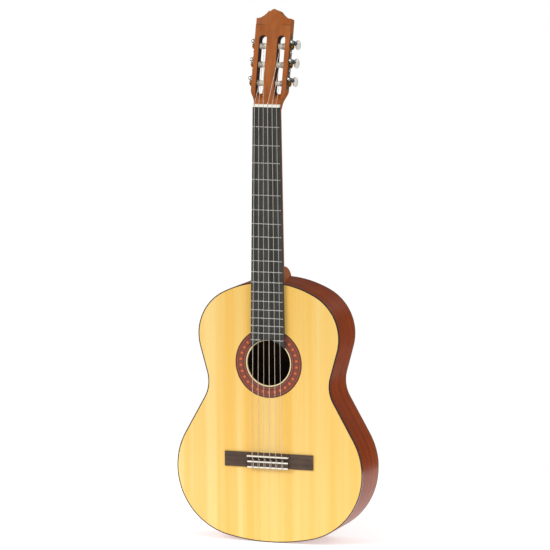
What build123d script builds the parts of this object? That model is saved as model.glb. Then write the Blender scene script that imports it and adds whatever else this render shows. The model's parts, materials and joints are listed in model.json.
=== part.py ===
from build123d import *
from math import acos, atan2, cos, degrees, hypot, pi, radians, sin, sqrt
import os

# A classical guitar standing upright. X runs across it with the bass side negative, Y from the
# soundboard to the back, Z up along the neck. The tail of the body is at Z = 0.

# ---- body: outline, depth and plate thicknesses ----
BODY_LENGTH = 490.0
LOWER_HALF = 183.0
WAIST_HALF = 119.5
UPPER_HALF = 138.5
LOWER_RADIUS = 130.0
LOWER_CENTRE_Z = 136.0
WAIST_RADIUS = 62.0
WAIST_CENTRE_Z = 299.0
UPPER_RADIUS = 90.0
UPPER_CENTRE_Z = 388.0
DEPTH_AT_TAIL = 97.0
DEPTH_AT_HEEL = 92.0
SOUNDBOARD_T = 2.6
BACK_T = 3.0
RIB_T = 2.2
BINDING_T = 1.8
TOP_BINDING_H = 4.0
BACK_BINDING_H = BACK_T
GLUE = 0.1
LINING_T = 6.0
LINING_H = 13.0
PAST_BODY = 20.0

# ---- blocks and bars inside the body, as (width, thickness) or (width, height) ----
BLOCK_GAP = 0.2
NECK_BLOCK = (76.0, 26.0)
TAIL_BLOCK = (80.0, 15.0)
INSIDE = RIB_T + GLUE
BAR_END = INSIDE + LINING_T + 0.5
TRANSVERSE_BAR = (7.0, 15.0)
TRANSVERSE_BARS_Z = [286.0, 396.0]
BACK_BAR = (8.0, 12.0)
BACK_BARS_Z = [95.0, 250.0, 392.0]
CENTRE_STRIP = (20.0, 2.0)
FAN_STRUT = (5.0, 4.5)
FAN_FOOT_Z = 46.0
FAN_FOOT_STEP = 37.0
FAN_HEAD_Z = 268.0
FAN_HEAD_STEP = 17.0

# ---- strings and scale ----
SCALE = 650.0
COMPENSATION = 2.0
NUT_Z = BODY_LENGTH + SCALE / 2
SADDLE_Z = NUT_Z - SCALE - COMPENSATION
STRING_DIAMETERS = [0.71, 0.82, 1.02, 0.76, 0.89, 1.09]
NUT_SPREAD = 43.0
SADDLE_SPREAD = 58.0
SADDLE_TOP = 12.0
STRING_H_AT_NUT = 8.4

# The frame's Y zero is halfway between the highest string and the back.
TOP_Y = (SADDLE_TOP + 1.2 - DEPTH_AT_TAIL) / 2

# ---- sound hole, rosette and bracing ----
HOLE_Z = 338.0
HOLE_R = 42.5
ROSETTE_IN = 45.3
ROSETTE_OUT = 65.3
ROSETTE_T = 1.0
PATCH_OUT = 58.0
PATCH_HALF_H = 47.0
PATCH_T = 1.8

# ---- neck, fingerboard and nut ----
NUT_HALF = 26.0
TWELFTH_HALF = 31.0
BOARD_T = 6.5
BOARD_END_R = 43.9
BOARD_END_Z = 360.0
FRET_COUNT = 19
FRET_HALF_W = 1.1
FRET_H = 1.1
TANG_T = 0.6
TANG_DEEP = 1.8
FRET_END_INSET = 0.3
FRET_PARTING = 1.8
NUT_T = 5.0
NUT_H = 9.2
NUT_FRONT_H = 8.4
SHAFT_DEEP_NUT = 15.5
SHAFT_DEEP_HEEL = 18.0
SHAFT_SIDE = 3.0
HEEL_FOOT = 8.0
HEEL_SLICES = [(6.0, 29.0, 62.0), (24.0, 25.5, 36.0), (50.0, 20.0, 23.0), (100.0, 13.0, 15.0)]
SCARF_Z = NUT_Z - 6.0

# ---- headstock, measured along its own face (s) and back from that face (w) ----
HEAD_TILT = 14.0
HEAD_T = 19.0
HEAD_HALF = 34.0
HEAD_FOOT_S = -12.0
HEAD_FLARE_S = 27.0
HEAD_CORNER_S = 160.0
HEAD_PEAK_S = 177.5
SLOT_X = 18.0
SLOT_HALF = 7.5
SLOT_LOW_S = 20.0
SLOT_HIGH_S = 128.5
RAMP_S = 9.0
RAMP_DEEP = 13.3
SCOOP_S = 148.0
SCOOP_DEEP = 1.3
SCOOP_IN_X = 13.0
VOLUTE_HALF = 48.0
VOLUTE_DEEP = 26.0

# ---- tuning machines ----
ROLLER_S = [40.0, 74.5, 109.0]
AXLE_W = 9.5
ROLLER_R = 5.0
AXLE_R = 3.0
PIN_R = 2.5
RUNNING_GAP = 0.06
PLATE_T = 1.2
GEAR_IN = 36.0
GEAR_OUT = 39.2
GEAR_X = (GEAR_IN + GEAR_OUT) / 2
GEAR_TEETH = 14
GEAR_TIP_R = 5.6
GEAR_ROOT_R = 4.3
GEAR_SEAT_R = 2.0
WORM_CORE_R = 2.3
WORM_OFFSET = GEAR_TIP_R + WORM_CORE_R + 0.15
WORM_SHAFT_R = 1.5
WORM_HEAD_R = 2.2
LUGS_W = [(3.0, 4.7), (14.3, 16.0)]
LUG_OUT = 5.2
LUG_WIDE = 5.8
WINDOW_FRAME = (10.6, 16.4)
WINDOW = (7.2, 9.4)
PIN_LONG = 6.5
PIN_BORE = 7.0
BARREL_GAP = 0.4
GEAR_SCREW_R = 2.6
GEAR_SCREW_H = 1.5
BUTTON_W = 26.0
BUTTON_MID_W = 39.0
BUTTON_RX = 9.2
BUTTON_RY = 9.6
BUTTON_HALF_T = 4.0
COLLAR_R = 3.4
COLLAR_LONG = 6.0
PLATE_BAR = 5.6
PLATE_EYE_R = 3.6
PLATE_BOSS_R = 6.6
SCREW_S = [30.5, 61.25, 95.75, 128.0]
SCREW_R = 1.0
SCREW_HEAD_R = 2.2
SCREW_HEAD_H = 1.1
SCREW_LONG = 5.5

# ---- the six strings: side of the headstock, which roller, and where they wind on it ----
SIDES = [1, 1, 1, -1, -1, -1]
ROLLER_OF = [0, 1, 2, 2, 1, 0]
WRAP_X = [19.4, 17.2, 16.4, 16.4, 17.2, 19.4]
WRAP_W = [4.4, 5.4, 5.4, 5.4, 5.4, 4.4]

# ---- bridge, measured down from its upper edge (t) ----
BRIDGE_TOP_Z = SADDLE_Z + 6.0
BRIDGE_HALF = 87.0
BRIDGE_W = 28.0
WING_H = 4.6
WING_TIP_H = 2.2
WING_TAPER = 9.0
BLOCK_HALF = 40.0
BLOCK_T0 = 15.0
BLOCK_H = 9.2
RIDGE_END_T = 9.0
RIDGE_H = 8.0
TROUGH_H = 3.6
TROUGH_T = RIDGE_END_T + 0.8
EDGE_H = 2.6
EDGE_W = 4.0
SADDLE_T = 2.6
TIE_HOLE_H = 5.6
TIE_HOLE_R = 1.0
STRIP_W = 2.6
STRIP_T = 1.0

os.makedirs("parts", exist_ok=True)


def save(part, name):
    """Label a finished piece and write it as its own STEP file."""
    part.label = name
    export_step(part, f"parts/{name}.step")


# =====================================================================================
# Places
# =====================================================================================

def facing(depth):
    """Plane parallel to the soundboard, this far behind its face, seen from the front."""
    return Plane(origin=(0, TOP_Y + depth, 0), x_dir=(1, 0, 0), z_dir=(0, -1, 0))


def level(z):
    """Horizontal plane across the neck, its Y running back from the soundboard's face."""
    return Plane(origin=(0, TOP_Y, z), x_dir=(1, 0, 0), z_dir=(0, 0, 1))


def side_on(x):
    """Plane seen from the treble side: X is depth behind the soundboard, Y is height."""
    return Plane(origin=(x, TOP_Y, 0), x_dir=(0, 1, 0), z_dir=(1, 0, 0))


BACK_SLOPE = atan2(DEPTH_AT_TAIL - DEPTH_AT_HEEL, BODY_LENGTH)
BACK_NORMAL = Vector(0, cos(BACK_SLOPE), sin(BACK_SLOPE))


def back_plane(inside=0.0):
    """The back's outer face, or a plane this far inside it, pointing out of the body."""
    at_tail = Vector(0, TOP_Y + DEPTH_AT_TAIL, 0)
    return Plane(origin=at_tail - BACK_NORMAL * inside, x_dir=(1, 0, 0), z_dir=BACK_NORMAL)


HEAD_ORIGIN = Vector(0, TOP_Y, NUT_Z + NUT_T)
HEAD_UP = Vector(0, sin(radians(HEAD_TILT)), cos(radians(HEAD_TILT)))
HEAD_BACK = Vector(0, cos(radians(HEAD_TILT)), -sin(radians(HEAD_TILT)))


def head_point(x, s, w):
    """A point on the headstock: across, along its face, and back from its face."""
    return HEAD_ORIGIN + Vector(x, 0, 0) + HEAD_UP * s + HEAD_BACK * w


def head_face(w=0.0):
    """Plane of the headstock's face, or one this far behind it."""
    return Plane(origin=head_point(0, 0, w), x_dir=(1, 0, 0), z_dir=HEAD_BACK * -1)


def head_side(side, x, s, w=AXLE_W):
    """Plane square to X on one side of the headstock, facing outwards; local X runs up it."""
    return Plane(origin=head_point(side * x, s, w), x_dir=HEAD_UP, z_dir=(side, 0, 0))


def head_behind(x, s, w):
    """Plane parallel to the headstock's face that faces backwards, for the worm shafts."""
    return Plane(origin=head_point(x, s, w), x_dir=(1, 0, 0), z_dir=HEAD_BACK)


# =====================================================================================
# Outlines
# =====================================================================================

def tangent_angle(bout_x, bout_z, bout_r, waist_x, turn):
    """Angle on a bout circle where its straight run to the waist circle begins."""
    across, up = waist_x - bout_x, WAIST_CENTRE_Z - bout_z
    lean = acos((bout_r + WAIST_RADIUS) / hypot(across, up))
    return atan2(up, across) + turn * lean


def tangent_length(bout_x, bout_z, bout_r, waist_x):
    """Length of that straight run."""
    gap = hypot(waist_x - bout_x, WAIST_CENTRE_Z - bout_z)
    return sqrt(gap**2 - (bout_r + WAIST_RADIUS) ** 2)


LOWER_X = LOWER_HALF - LOWER_RADIUS
UPPER_X = UPPER_HALF - UPPER_RADIUS
WAIST_X = WAIST_HALF + WAIST_RADIUS
UPPER_DROP = BODY_LENGTH - UPPER_CENTRE_Z
TAIL_RADIUS = (LOWER_X**2 + LOWER_CENTRE_Z**2 - LOWER_RADIUS**2) / (2 * (LOWER_CENTRE_Z - LOWER_RADIUS))
SHOULDER_RADIUS = (UPPER_X**2 + UPPER_DROP**2 - UPPER_RADIUS**2) / (2 * (UPPER_DROP - UPPER_RADIUS))
TAIL_TO_LOWER = atan2(LOWER_CENTRE_Z - TAIL_RADIUS, LOWER_X)
LOWER_TO_WAIST = tangent_angle(LOWER_X, LOWER_CENTRE_Z, LOWER_RADIUS, WAIST_X, -1)
WAIST_TO_UPPER = tangent_angle(UPPER_X, UPPER_CENTRE_Z, UPPER_RADIUS, WAIST_X, 1)
UPPER_TO_SHOULDER = atan2(UPPER_CENTRE_Z - BODY_LENGTH + SHOULDER_RADIUS, UPPER_X)
LOWER_RUN = tangent_length(LOWER_X, LOWER_CENTRE_Z, LOWER_RADIUS, WAIST_X)
UPPER_RUN = tangent_length(UPPER_X, UPPER_CENTRE_Z, UPPER_RADIUS, WAIST_X)


def body_face(inset=0.0):
    """The body's outline as tangent arcs, filled, this far inside its outer edge."""
    with BuildSketch() as outline:
        with BuildLine():
            tail_turn = degrees(TAIL_TO_LOWER + pi / 2)
            tail = JernArc((0, inset), (1, 0), TAIL_RADIUS - inset, tail_turn)
            lower_turn = degrees(LOWER_TO_WAIST - TAIL_TO_LOWER)
            lower = JernArc(tail @ 1, tail % 1, LOWER_RADIUS - inset, lower_turn)
            into_waist = PolarLine(lower @ 1, LOWER_RUN, direction=lower % 1)
            waist_turn = degrees(WAIST_TO_UPPER - LOWER_TO_WAIST)
            waist = JernArc(into_waist @ 1, into_waist % 1, WAIST_RADIUS + inset, waist_turn)
            out_of_waist = PolarLine(waist @ 1, UPPER_RUN, direction=waist % 1)
            upper_turn = degrees(UPPER_TO_SHOULDER - WAIST_TO_UPPER)
            upper = JernArc(out_of_waist @ 1, out_of_waist % 1, UPPER_RADIUS - inset, upper_turn)
            ThreePointArc(upper @ 1, shoulder_middle(inset), (0, BODY_LENGTH - inset))
            mirror(about=Plane.YZ)
        make_face()
    return outline.sketch


def shoulder_middle(inset):
    """Middle point of the arc from the upper bout to the neck."""
    middle = (UPPER_TO_SHOULDER + pi / 2) / 2
    radius = SHOULDER_RADIUS - inset
    return (radius * cos(middle), BODY_LENGTH - SHOULDER_RADIUS + radius * sin(middle))


def ring_face(outer_inset, inner_inset):
    """The band between two insets of the body's outline."""
    return body_face(outer_inset) - body_face(inner_inset)


def head_outline():
    """The headstock's front: flared from the nut, parallel sides, a peaked crest."""
    with BuildSketch() as outline:
        with BuildLine():
            Line((0, HEAD_FOOT_S), (NUT_HALF, HEAD_FOOT_S))
            Line((NUT_HALF, HEAD_FOOT_S), (NUT_HALF, 0))
            Spline((NUT_HALF, 0), (29.8, 14), (HEAD_HALF, HEAD_FLARE_S), tangents=[(0, 1), (0, 1)])
            Line((HEAD_HALF, HEAD_FLARE_S), (HEAD_HALF, HEAD_CORNER_S))
            Line((HEAD_HALF, HEAD_CORNER_S), (27.5, HEAD_CORNER_S + 0.6))
            ThreePointArc((27.5, HEAD_CORNER_S + 0.6), (17.5, 166.4), (10.2, 174.2))
            Line((10.2, 174.2), (7.4, 173.0))
            ThreePointArc((7.4, 173.0), (3.9, 176.2), (0, HEAD_PEAK_S))
            mirror(about=Plane.YZ)
        make_face()
    return outline.sketch


def neck_section(half_width, deep):
    """The neck's cross-section: flat on top, short straight sides, a half-round back."""
    with BuildSketch() as section:
        with BuildLine():
            Line((-half_width, 0), (half_width, 0))
            Line((half_width, 0), (half_width, SHAFT_SIDE))
            EllipticalCenterArc((0, SHAFT_SIDE), half_width, deep - SHAFT_SIDE, 0, arc_size=180)
            Line((-half_width, SHAFT_SIDE), (-half_width, 0))
        make_face()
    return section.sketch


def heel_section(half_width, rise):
    """One slice of the heel: flat against the body, rounded above it."""
    foot = BODY_LENGTH - HEEL_FOOT
    with BuildSketch() as section:
        with BuildLine():
            Line((-half_width, foot), (half_width, foot))
            EllipticalCenterArc((0, foot), half_width, rise + HEEL_FOOT, 0, arc_size=180)
        make_face()
    return section.sketch


def board_half(z):
    """Half of the fingerboard's width at this height."""
    return NUT_HALF + (NUT_Z - z) / (SCALE / 2) * (TWELFTH_HALF - NUT_HALF)


def fret_z(number):
    """Height of a fret on the equal-tempered scale."""
    return NUT_Z - SCALE * (1 - 2 ** (-number / 12))


def trim_to_body(inset=0.0):
    """Solid of the body's plan, used to cut pieces that lie against or inside it."""
    with BuildPart(mode=Mode.PRIVATE) as block:
        with BuildSketch(facing(-1)):
            add(body_face(inset))
        extrude(amount=-DEPTH_AT_TAIL - PAST_BODY)
    return block.part


def volute():
    """Solid that widens from the neck's round back to past the headstock's square corners."""
    with BuildPart(mode=Mode.PRIVATE) as taper:
        for s, half_width, deep in (
            (HEAD_FOOT_S - 0.5, NUT_HALF, SHAFT_DEEP_NUT),
            (HEAD_FLARE_S, VOLUTE_HALF, VOLUTE_DEEP),
        ):
            with BuildSketch(Plane(origin=head_point(0, s, 0), x_dir=(1, 0, 0), z_dir=HEAD_UP)):
                add(neck_section(half_width, deep))
        loft(ruled=True)
    return taper.part


# =====================================================================================
# Body
# =====================================================================================

with BuildPart() as soundboard:
    with BuildSketch(facing(0)):
        add(body_face(BINDING_T + GLUE))
        with Locations((0, HOLE_Z)):
            Circle(HOLE_R, mode=Mode.SUBTRACT)
    extrude(amount=-SOUNDBOARD_T)
    with BuildSketch(facing(0)):
        with Locations((0, HOLE_Z)):
            Circle(ROSETTE_OUT + GLUE)
            Circle(ROSETTE_IN - GLUE, mode=Mode.SUBTRACT)
    extrude(amount=-ROSETTE_T, mode=Mode.SUBTRACT)
save(soundboard.part, "soundboard")

with BuildPart() as rosette:
    with BuildSketch(facing(0)):
        with Locations((0, HOLE_Z)):
            Circle(ROSETTE_OUT)
            Circle(ROSETTE_IN, mode=Mode.SUBTRACT)
    extrude(amount=-ROSETTE_T)
save(rosette.part, "rosette")

with BuildPart() as soundhole_patch:
    with BuildSketch(facing(SOUNDBOARD_T)):
        with Locations((0, HOLE_Z)):
            Circle(PATCH_OUT)
            Circle(HOLE_R, mode=Mode.SUBTRACT)
        with Locations((0, HOLE_Z)):
            Rectangle(2 * PATCH_OUT, 2 * PATCH_HALF_H, mode=Mode.INTERSECT)
    extrude(amount=-PATCH_T)
save(soundhole_patch.part, "soundhole_patch")

with BuildPart() as back:
    with BuildSketch(facing(80)):
        add(body_face(BINDING_T + GLUE))
    extrude(amount=-30)
    split(bisect_by=back_plane(), keep=Keep.BOTTOM)
    split(bisect_by=back_plane(BACK_T), keep=Keep.TOP)
save(back.part, "back")

for side, name in ((-1, "rib_bass"), (1, "rib_treble")):
    with BuildPart() as rib:
        with BuildSketch(facing(TOP_BINDING_H)):
            add(ring_face(0, RIB_T))
        extrude(amount=-DEPTH_AT_TAIL)
        split(bisect_by=back_plane(BACK_BINDING_H), keep=Keep.BOTTOM)
        split(bisect_by=Plane.YZ, keep=Keep.TOP if side > 0 else Keep.BOTTOM)
    save(rib.part, name)

with BuildPart() as top_binding:
    with BuildSketch(facing(0)):
        add(ring_face(0, BINDING_T))
    extrude(amount=-TOP_BINDING_H)
save(top_binding.part, "top_binding")

with BuildPart() as back_binding:
    with BuildSketch(facing(80)):
        add(ring_face(0, BINDING_T))
    extrude(amount=-30)
    split(bisect_by=back_plane(), keep=Keep.BOTTOM)
    split(bisect_by=back_plane(BACK_BINDING_H), keep=Keep.TOP)
save(back_binding.part, "back_binding")


def block_cut(size, at_top):
    """Plan of a wooden block against the ribs at one end, with room around it."""
    width, thick = size
    centre_z = BODY_LENGTH - thick / 2 if at_top else thick / 2
    with BuildPart(mode=Mode.PRIVATE) as cut:
        with BuildSketch(facing(-1)):
            with Locations((0, centre_z)):
                Rectangle(width + 2 * BLOCK_GAP, thick + 2 * BLOCK_GAP + 2 * RIB_T)
        extrude(amount=-DEPTH_AT_TAIL - PAST_BODY)
    return cut.part


for name, size, at_top in (("neck_block", NECK_BLOCK, True), ("tail_block", TAIL_BLOCK, False)):
    width, thick = size
    middle_from_end = thick / 2 + RIB_T
    with BuildPart() as block:
        with BuildSketch(facing(SOUNDBOARD_T)):
            add(body_face(INSIDE))
            with Locations((0, BODY_LENGTH - middle_from_end if at_top else middle_from_end)):
                Rectangle(width, thick + 2 * RIB_T, mode=Mode.INTERSECT)
        extrude(amount=-DEPTH_AT_TAIL)
        split(bisect_by=back_plane(BACK_T), keep=Keep.BOTTOM)
    save(block.part, name)

neck_block_cut = block_cut(NECK_BLOCK, True)
tail_block_cut = block_cut(TAIL_BLOCK, False)

with BuildPart() as top_lining:
    with BuildSketch(facing(SOUNDBOARD_T)):
        add(ring_face(INSIDE, INSIDE + LINING_T))
    extrude(amount=-LINING_H)
    add(neck_block_cut, mode=Mode.SUBTRACT)
    add(tail_block_cut, mode=Mode.SUBTRACT)
save(top_lining.part, "top_lining")

with BuildPart() as back_lining:
    with BuildSketch(facing(60)):
        add(ring_face(INSIDE, INSIDE + LINING_T))
    extrude(amount=-50)
    split(bisect_by=back_plane(BACK_T), keep=Keep.BOTTOM)
    split(bisect_by=back_plane(BACK_T + LINING_H), keep=Keep.TOP)
    add(neck_block_cut, mode=Mode.SUBTRACT)
    add(tail_block_cut, mode=Mode.SUBTRACT)
save(back_lining.part, "back_lining")

# Bars and struts end just short of the linings.
with BuildPart() as transverse_bars:
    with BuildSketch(facing(SOUNDBOARD_T)):
        add(body_face(BAR_END))
        with Locations(*[(0, z) for z in TRANSVERSE_BARS_Z]):
            Rectangle(2 * LOWER_HALF, TRANSVERSE_BAR[0], mode=Mode.INTERSECT)
    extrude(amount=-TRANSVERSE_BAR[1])
    chamfer(transverse_bars.faces().sort_by(Axis.Y)[-2:].edges().filter_by(Axis.X), 2.0)
save(transverse_bars.part, "transverse_bars")

with BuildPart() as fan_struts:
    with BuildSketch(facing(SOUNDBOARD_T)):
        for step in range(-3, 4):
            foot = Vector(step * FAN_FOOT_STEP, FAN_FOOT_Z)
            head = Vector(step * FAN_HEAD_STEP, FAN_HEAD_Z)
            lean = degrees(atan2((head - foot).Y, (head - foot).X))
            with Locations(Location(tuple((foot + head) * 0.5), lean)):
                Rectangle((head - foot).length, FAN_STRUT[0])
    extrude(amount=-FAN_STRUT[1])
    strut_faces = fan_struts.faces().sort_by(Axis.Y)[-7:]
    chamfer(strut_faces.edges().filter_by(lambda edge: edge.length > 50), 1.2)
save(fan_struts.part, "fan_struts")

with BuildPart() as back_bars:
    with BuildSketch(facing(70)):
        add(body_face(BAR_END))
        with Locations(*[(0, z) for z in BACK_BARS_Z]):
            Rectangle(2 * LOWER_HALF, BACK_BAR[0], mode=Mode.INTERSECT)
    extrude(amount=-40)
    split(bisect_by=back_plane(BACK_T), keep=Keep.BOTTOM)
    split(bisect_by=back_plane(BACK_T + BACK_BAR[1]), keep=Keep.TOP)
save(back_bars.part, "back_bars")

strip_stops = [TAIL_BLOCK[1] + RIB_T, *BACK_BARS_Z, BODY_LENGTH - NECK_BLOCK[1] - RIB_T]
with BuildPart() as back_centre_strip:
    with BuildSketch(facing(80)):
        for low, high in zip(strip_stops[:-1], strip_stops[1:]):
            with Locations((0, (low + high) / 2)):
                Rectangle(CENTRE_STRIP[0], high - low - BACK_BAR[0] - 2.0)
    extrude(amount=-30)
    split(bisect_by=back_plane(BACK_T), keep=Keep.BOTTOM)
    split(bisect_by=back_plane(BACK_T + CENTRE_STRIP[1]), keep=Keep.TOP)
save(back_centre_strip.part, "back_centre_strip")

# =====================================================================================
# Neck and headstock, one carved shape parted at the scarf joint
# =====================================================================================

with BuildPart() as head_slab:
    with BuildSketch(head_face()):
        add(head_outline())
    extrude(amount=-HEAD_T)
    # Its lower end, up to where the flare ends, is rounded into the back of the neck.
    split(bisect_by=Plane(origin=head_point(0, HEAD_FLARE_S, 0), z_dir=HEAD_UP), keep=Keep.BOTTOM)
    add(volute(), mode=Mode.INTERSECT)

with BuildPart() as carved_neck:
    with BuildSketch(level(BODY_LENGTH - 4)):
        add(neck_section(board_half(BODY_LENGTH), SHAFT_DEEP_HEEL))
    with BuildSketch(level(NUT_Z + 24)):
        add(neck_section(NUT_HALF, SHAFT_DEEP_NUT))
    loft(ruled=True)
    for depth, half_width, rise in HEEL_SLICES:
        with BuildSketch(facing(depth)):
            add(heel_section(half_width, rise))
    loft()
    split(bisect_by=back_plane(), keep=Keep.BOTTOM)
    add(trim_to_body(-GLUE), mode=Mode.SUBTRACT)
    split(bisect_by=head_face(), keep=Keep.BOTTOM)
    add(head_slab.part)
    with BuildSketch(head_face()):
        add(head_outline())
        with Locations((0, HEAD_FLARE_S - HEAD_PEAK_S / 2)):
            Rectangle(3 * HEAD_HALF, HEAD_PEAK_S, mode=Mode.SUBTRACT)
    extrude(amount=-HEAD_T)
    # The face below the nut stays level with the body's own face.
    with BuildSketch(side_on(0)):
        with Locations((-10, NUT_Z + NUT_T - 20)):
            Rectangle(20, 40)
    extrude(amount=40, both=True, mode=Mode.SUBTRACT)

SCARF = Plane(origin=(0, TOP_Y, SCARF_Z), x_dir=(1, 0, 0), z_dir=(0, -0.5, 0.866))

with BuildPart() as neck:
    add(carved_neck.part)
    split(bisect_by=SCARF, keep=Keep.BOTTOM)
save(neck.part, "neck")

with BuildPart() as headstock:
    add(carved_neck.part)
    split(bisect_by=SCARF, keep=Keep.TOP)
    # String slots, each with a ramp that lets the strings down into it.
    with BuildSketch(head_face()):
        with Locations(*[(side * SLOT_X, (SLOT_LOW_S + SLOT_HIGH_S) / 2) for side in (-1, 1)]):
            SlotOverall(SLOT_HIGH_S - SLOT_LOW_S, 2 * SLOT_HALF, rotation=90)
    extrude(amount=-HEAD_T, mode=Mode.SUBTRACT)
    ramp_end = SLOT_LOW_S + SLOT_HALF
    for side in (-1, 1):
        with BuildSketch(head_side(1, side * SLOT_X, 0, 0)):
            with BuildLine():
                Polyline((RAMP_S, 0), (ramp_end, 0), (ramp_end, -RAMP_DEEP), close=True)
            make_face()
        extrude(amount=SLOT_HALF - 0.5, both=True, mode=Mode.SUBTRACT)
        # The shoulders are scooped a little, deepest at the outer corners.
        scoop_plane = Plane(origin=head_point(0, SCOOP_S, 0), x_dir=(side, 0, 0), z_dir=HEAD_UP)
        with BuildSketch(scoop_plane):
            with BuildLine():
                Polyline(
                    (SCOOP_IN_X, 0), (SCOOP_IN_X, -side), (HEAD_HALF, -side),
                    (HEAD_HALF, side * SCOOP_DEEP), close=True,
                )
            make_face()
        extrude(amount=HEAD_PEAK_S - SCOOP_S, mode=Mode.SUBTRACT)
        for s in ROLLER_S:
            with BuildSketch(head_side(side, SLOT_X, s)):
                Circle(AXLE_R + RUNNING_GAP)
            extrude(amount=40, mode=Mode.SUBTRACT)
            with BuildSketch(head_side(side, SLOT_X, s)):
                Circle(PIN_R + RUNNING_GAP)
            extrude(amount=-SLOT_HALF - PIN_BORE, mode=Mode.SUBTRACT)
        for s in SCREW_S:
            with BuildSketch(head_side(side, HEAD_HALF, s)):
                Circle(SCREW_R)
            extrude(amount=-SCREW_LONG - 0.5, mode=Mode.SUBTRACT)
save(headstock.part, "headstock")

# =====================================================================================
# Fingerboard, frets and nut
# =====================================================================================

with BuildPart() as fingerboard:
    with BuildSketch(facing(0)):
        with BuildLine():
            low_half = board_half(BOARD_END_Z)
            Polyline(
                (-low_half, BOARD_END_Z), (low_half, BOARD_END_Z),
                (NUT_HALF, NUT_Z), (-NUT_HALF, NUT_Z), close=True,
            )
        make_face()
        with Locations((0, HOLE_Z)):
            Circle(BOARD_END_R, mode=Mode.SUBTRACT)
    extrude(amount=BOARD_T)
    for number in range(1, FRET_COUNT + 1):
        with BuildSketch(facing(-BOARD_T)):
            with Locations((0, fret_z(number))):
                Rectangle(80, TANG_T)
        extrude(amount=-TANG_DEEP, mode=Mode.SUBTRACT)
save(fingerboard.part, "fingerboard")


def fret_section():
    """A fret's end view: a low crown over a thin tang, its X running down the depth."""
    with BuildSketch() as section:
        with BuildLine():
            tang_end = TANG_DEEP - GLUE
            Polyline(
                (0, -FRET_HALF_W), (0, -TANG_T / 2), (tang_end, -TANG_T / 2),
                (tang_end, TANG_T / 2), (0, TANG_T / 2), (0, FRET_HALF_W),
            )
            ThreePointArc((0, FRET_HALF_W), (-FRET_H, 0), (0, -FRET_HALF_W))
        make_face()
    return section.sketch


with BuildPart() as frets:
    for number in range(1, FRET_COUNT + 1):
        origin = (0, TOP_Y - BOARD_T, fret_z(number))
        with BuildSketch(Plane(origin=origin, x_dir=(0, 1, 0), z_dir=(1, 0, 0))):
            add(fret_section())
        extrude(amount=board_half(fret_z(number)) - FRET_END_INSET, both=True)
    # The last fret is parted by the sound hole.
    with BuildSketch(facing(0)):
        with Locations((0, HOLE_Z)):
            Circle(BOARD_END_R + FRET_PARTING)
    extrude(amount=20, both=True, mode=Mode.SUBTRACT)
save(frets.part, "frets")

STRING_X_NUT = [NUT_SPREAD / 2 - index * NUT_SPREAD / 5 for index in range(6)]
STRING_X_SADDLE = [SADDLE_SPREAD / 2 - index * SADDLE_SPREAD / 5 for index in range(6)]

with BuildPart() as nut:
    with BuildSketch(side_on(0)):
        with BuildLine():
            nut_end = NUT_Z + NUT_T
            Polyline((0, NUT_Z), (-NUT_H, NUT_Z), (-NUT_FRONT_H, nut_end), (0, nut_end), close=True)
        make_face()
    extrude(amount=NUT_HALF - 0.2, both=True)
    for x, diameter in zip(STRING_X_NUT, STRING_DIAMETERS):
        with BuildSketch(side_on(x)):
            with BuildLine():
                floor = 0.05 - STRING_H_AT_NUT
                Polyline(
                    (floor, NUT_Z - 1), (floor, NUT_Z + 2), (floor + 0.6, nut_end + 1),
                    (-NUT_H - 1, nut_end + 1), (-NUT_H - 1, NUT_Z - 1), close=True,
                )
            make_face()
        extrude(amount=diameter / 2 + 0.06, both=True, mode=Mode.SUBTRACT)
save(nut.part, "nut")

# =====================================================================================
# Bridge, drawn in section from its upper edge down, and the pieces let into it
# =====================================================================================

def bridge_side(x):
    """Section plane of the bridge: X is height off the soundboard, Y is t down from the edge."""
    return Plane(origin=(x, TOP_Y, BRIDGE_TOP_Z), x_dir=(0, -1, 0), z_dir=(1, 0, 0))


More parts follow.
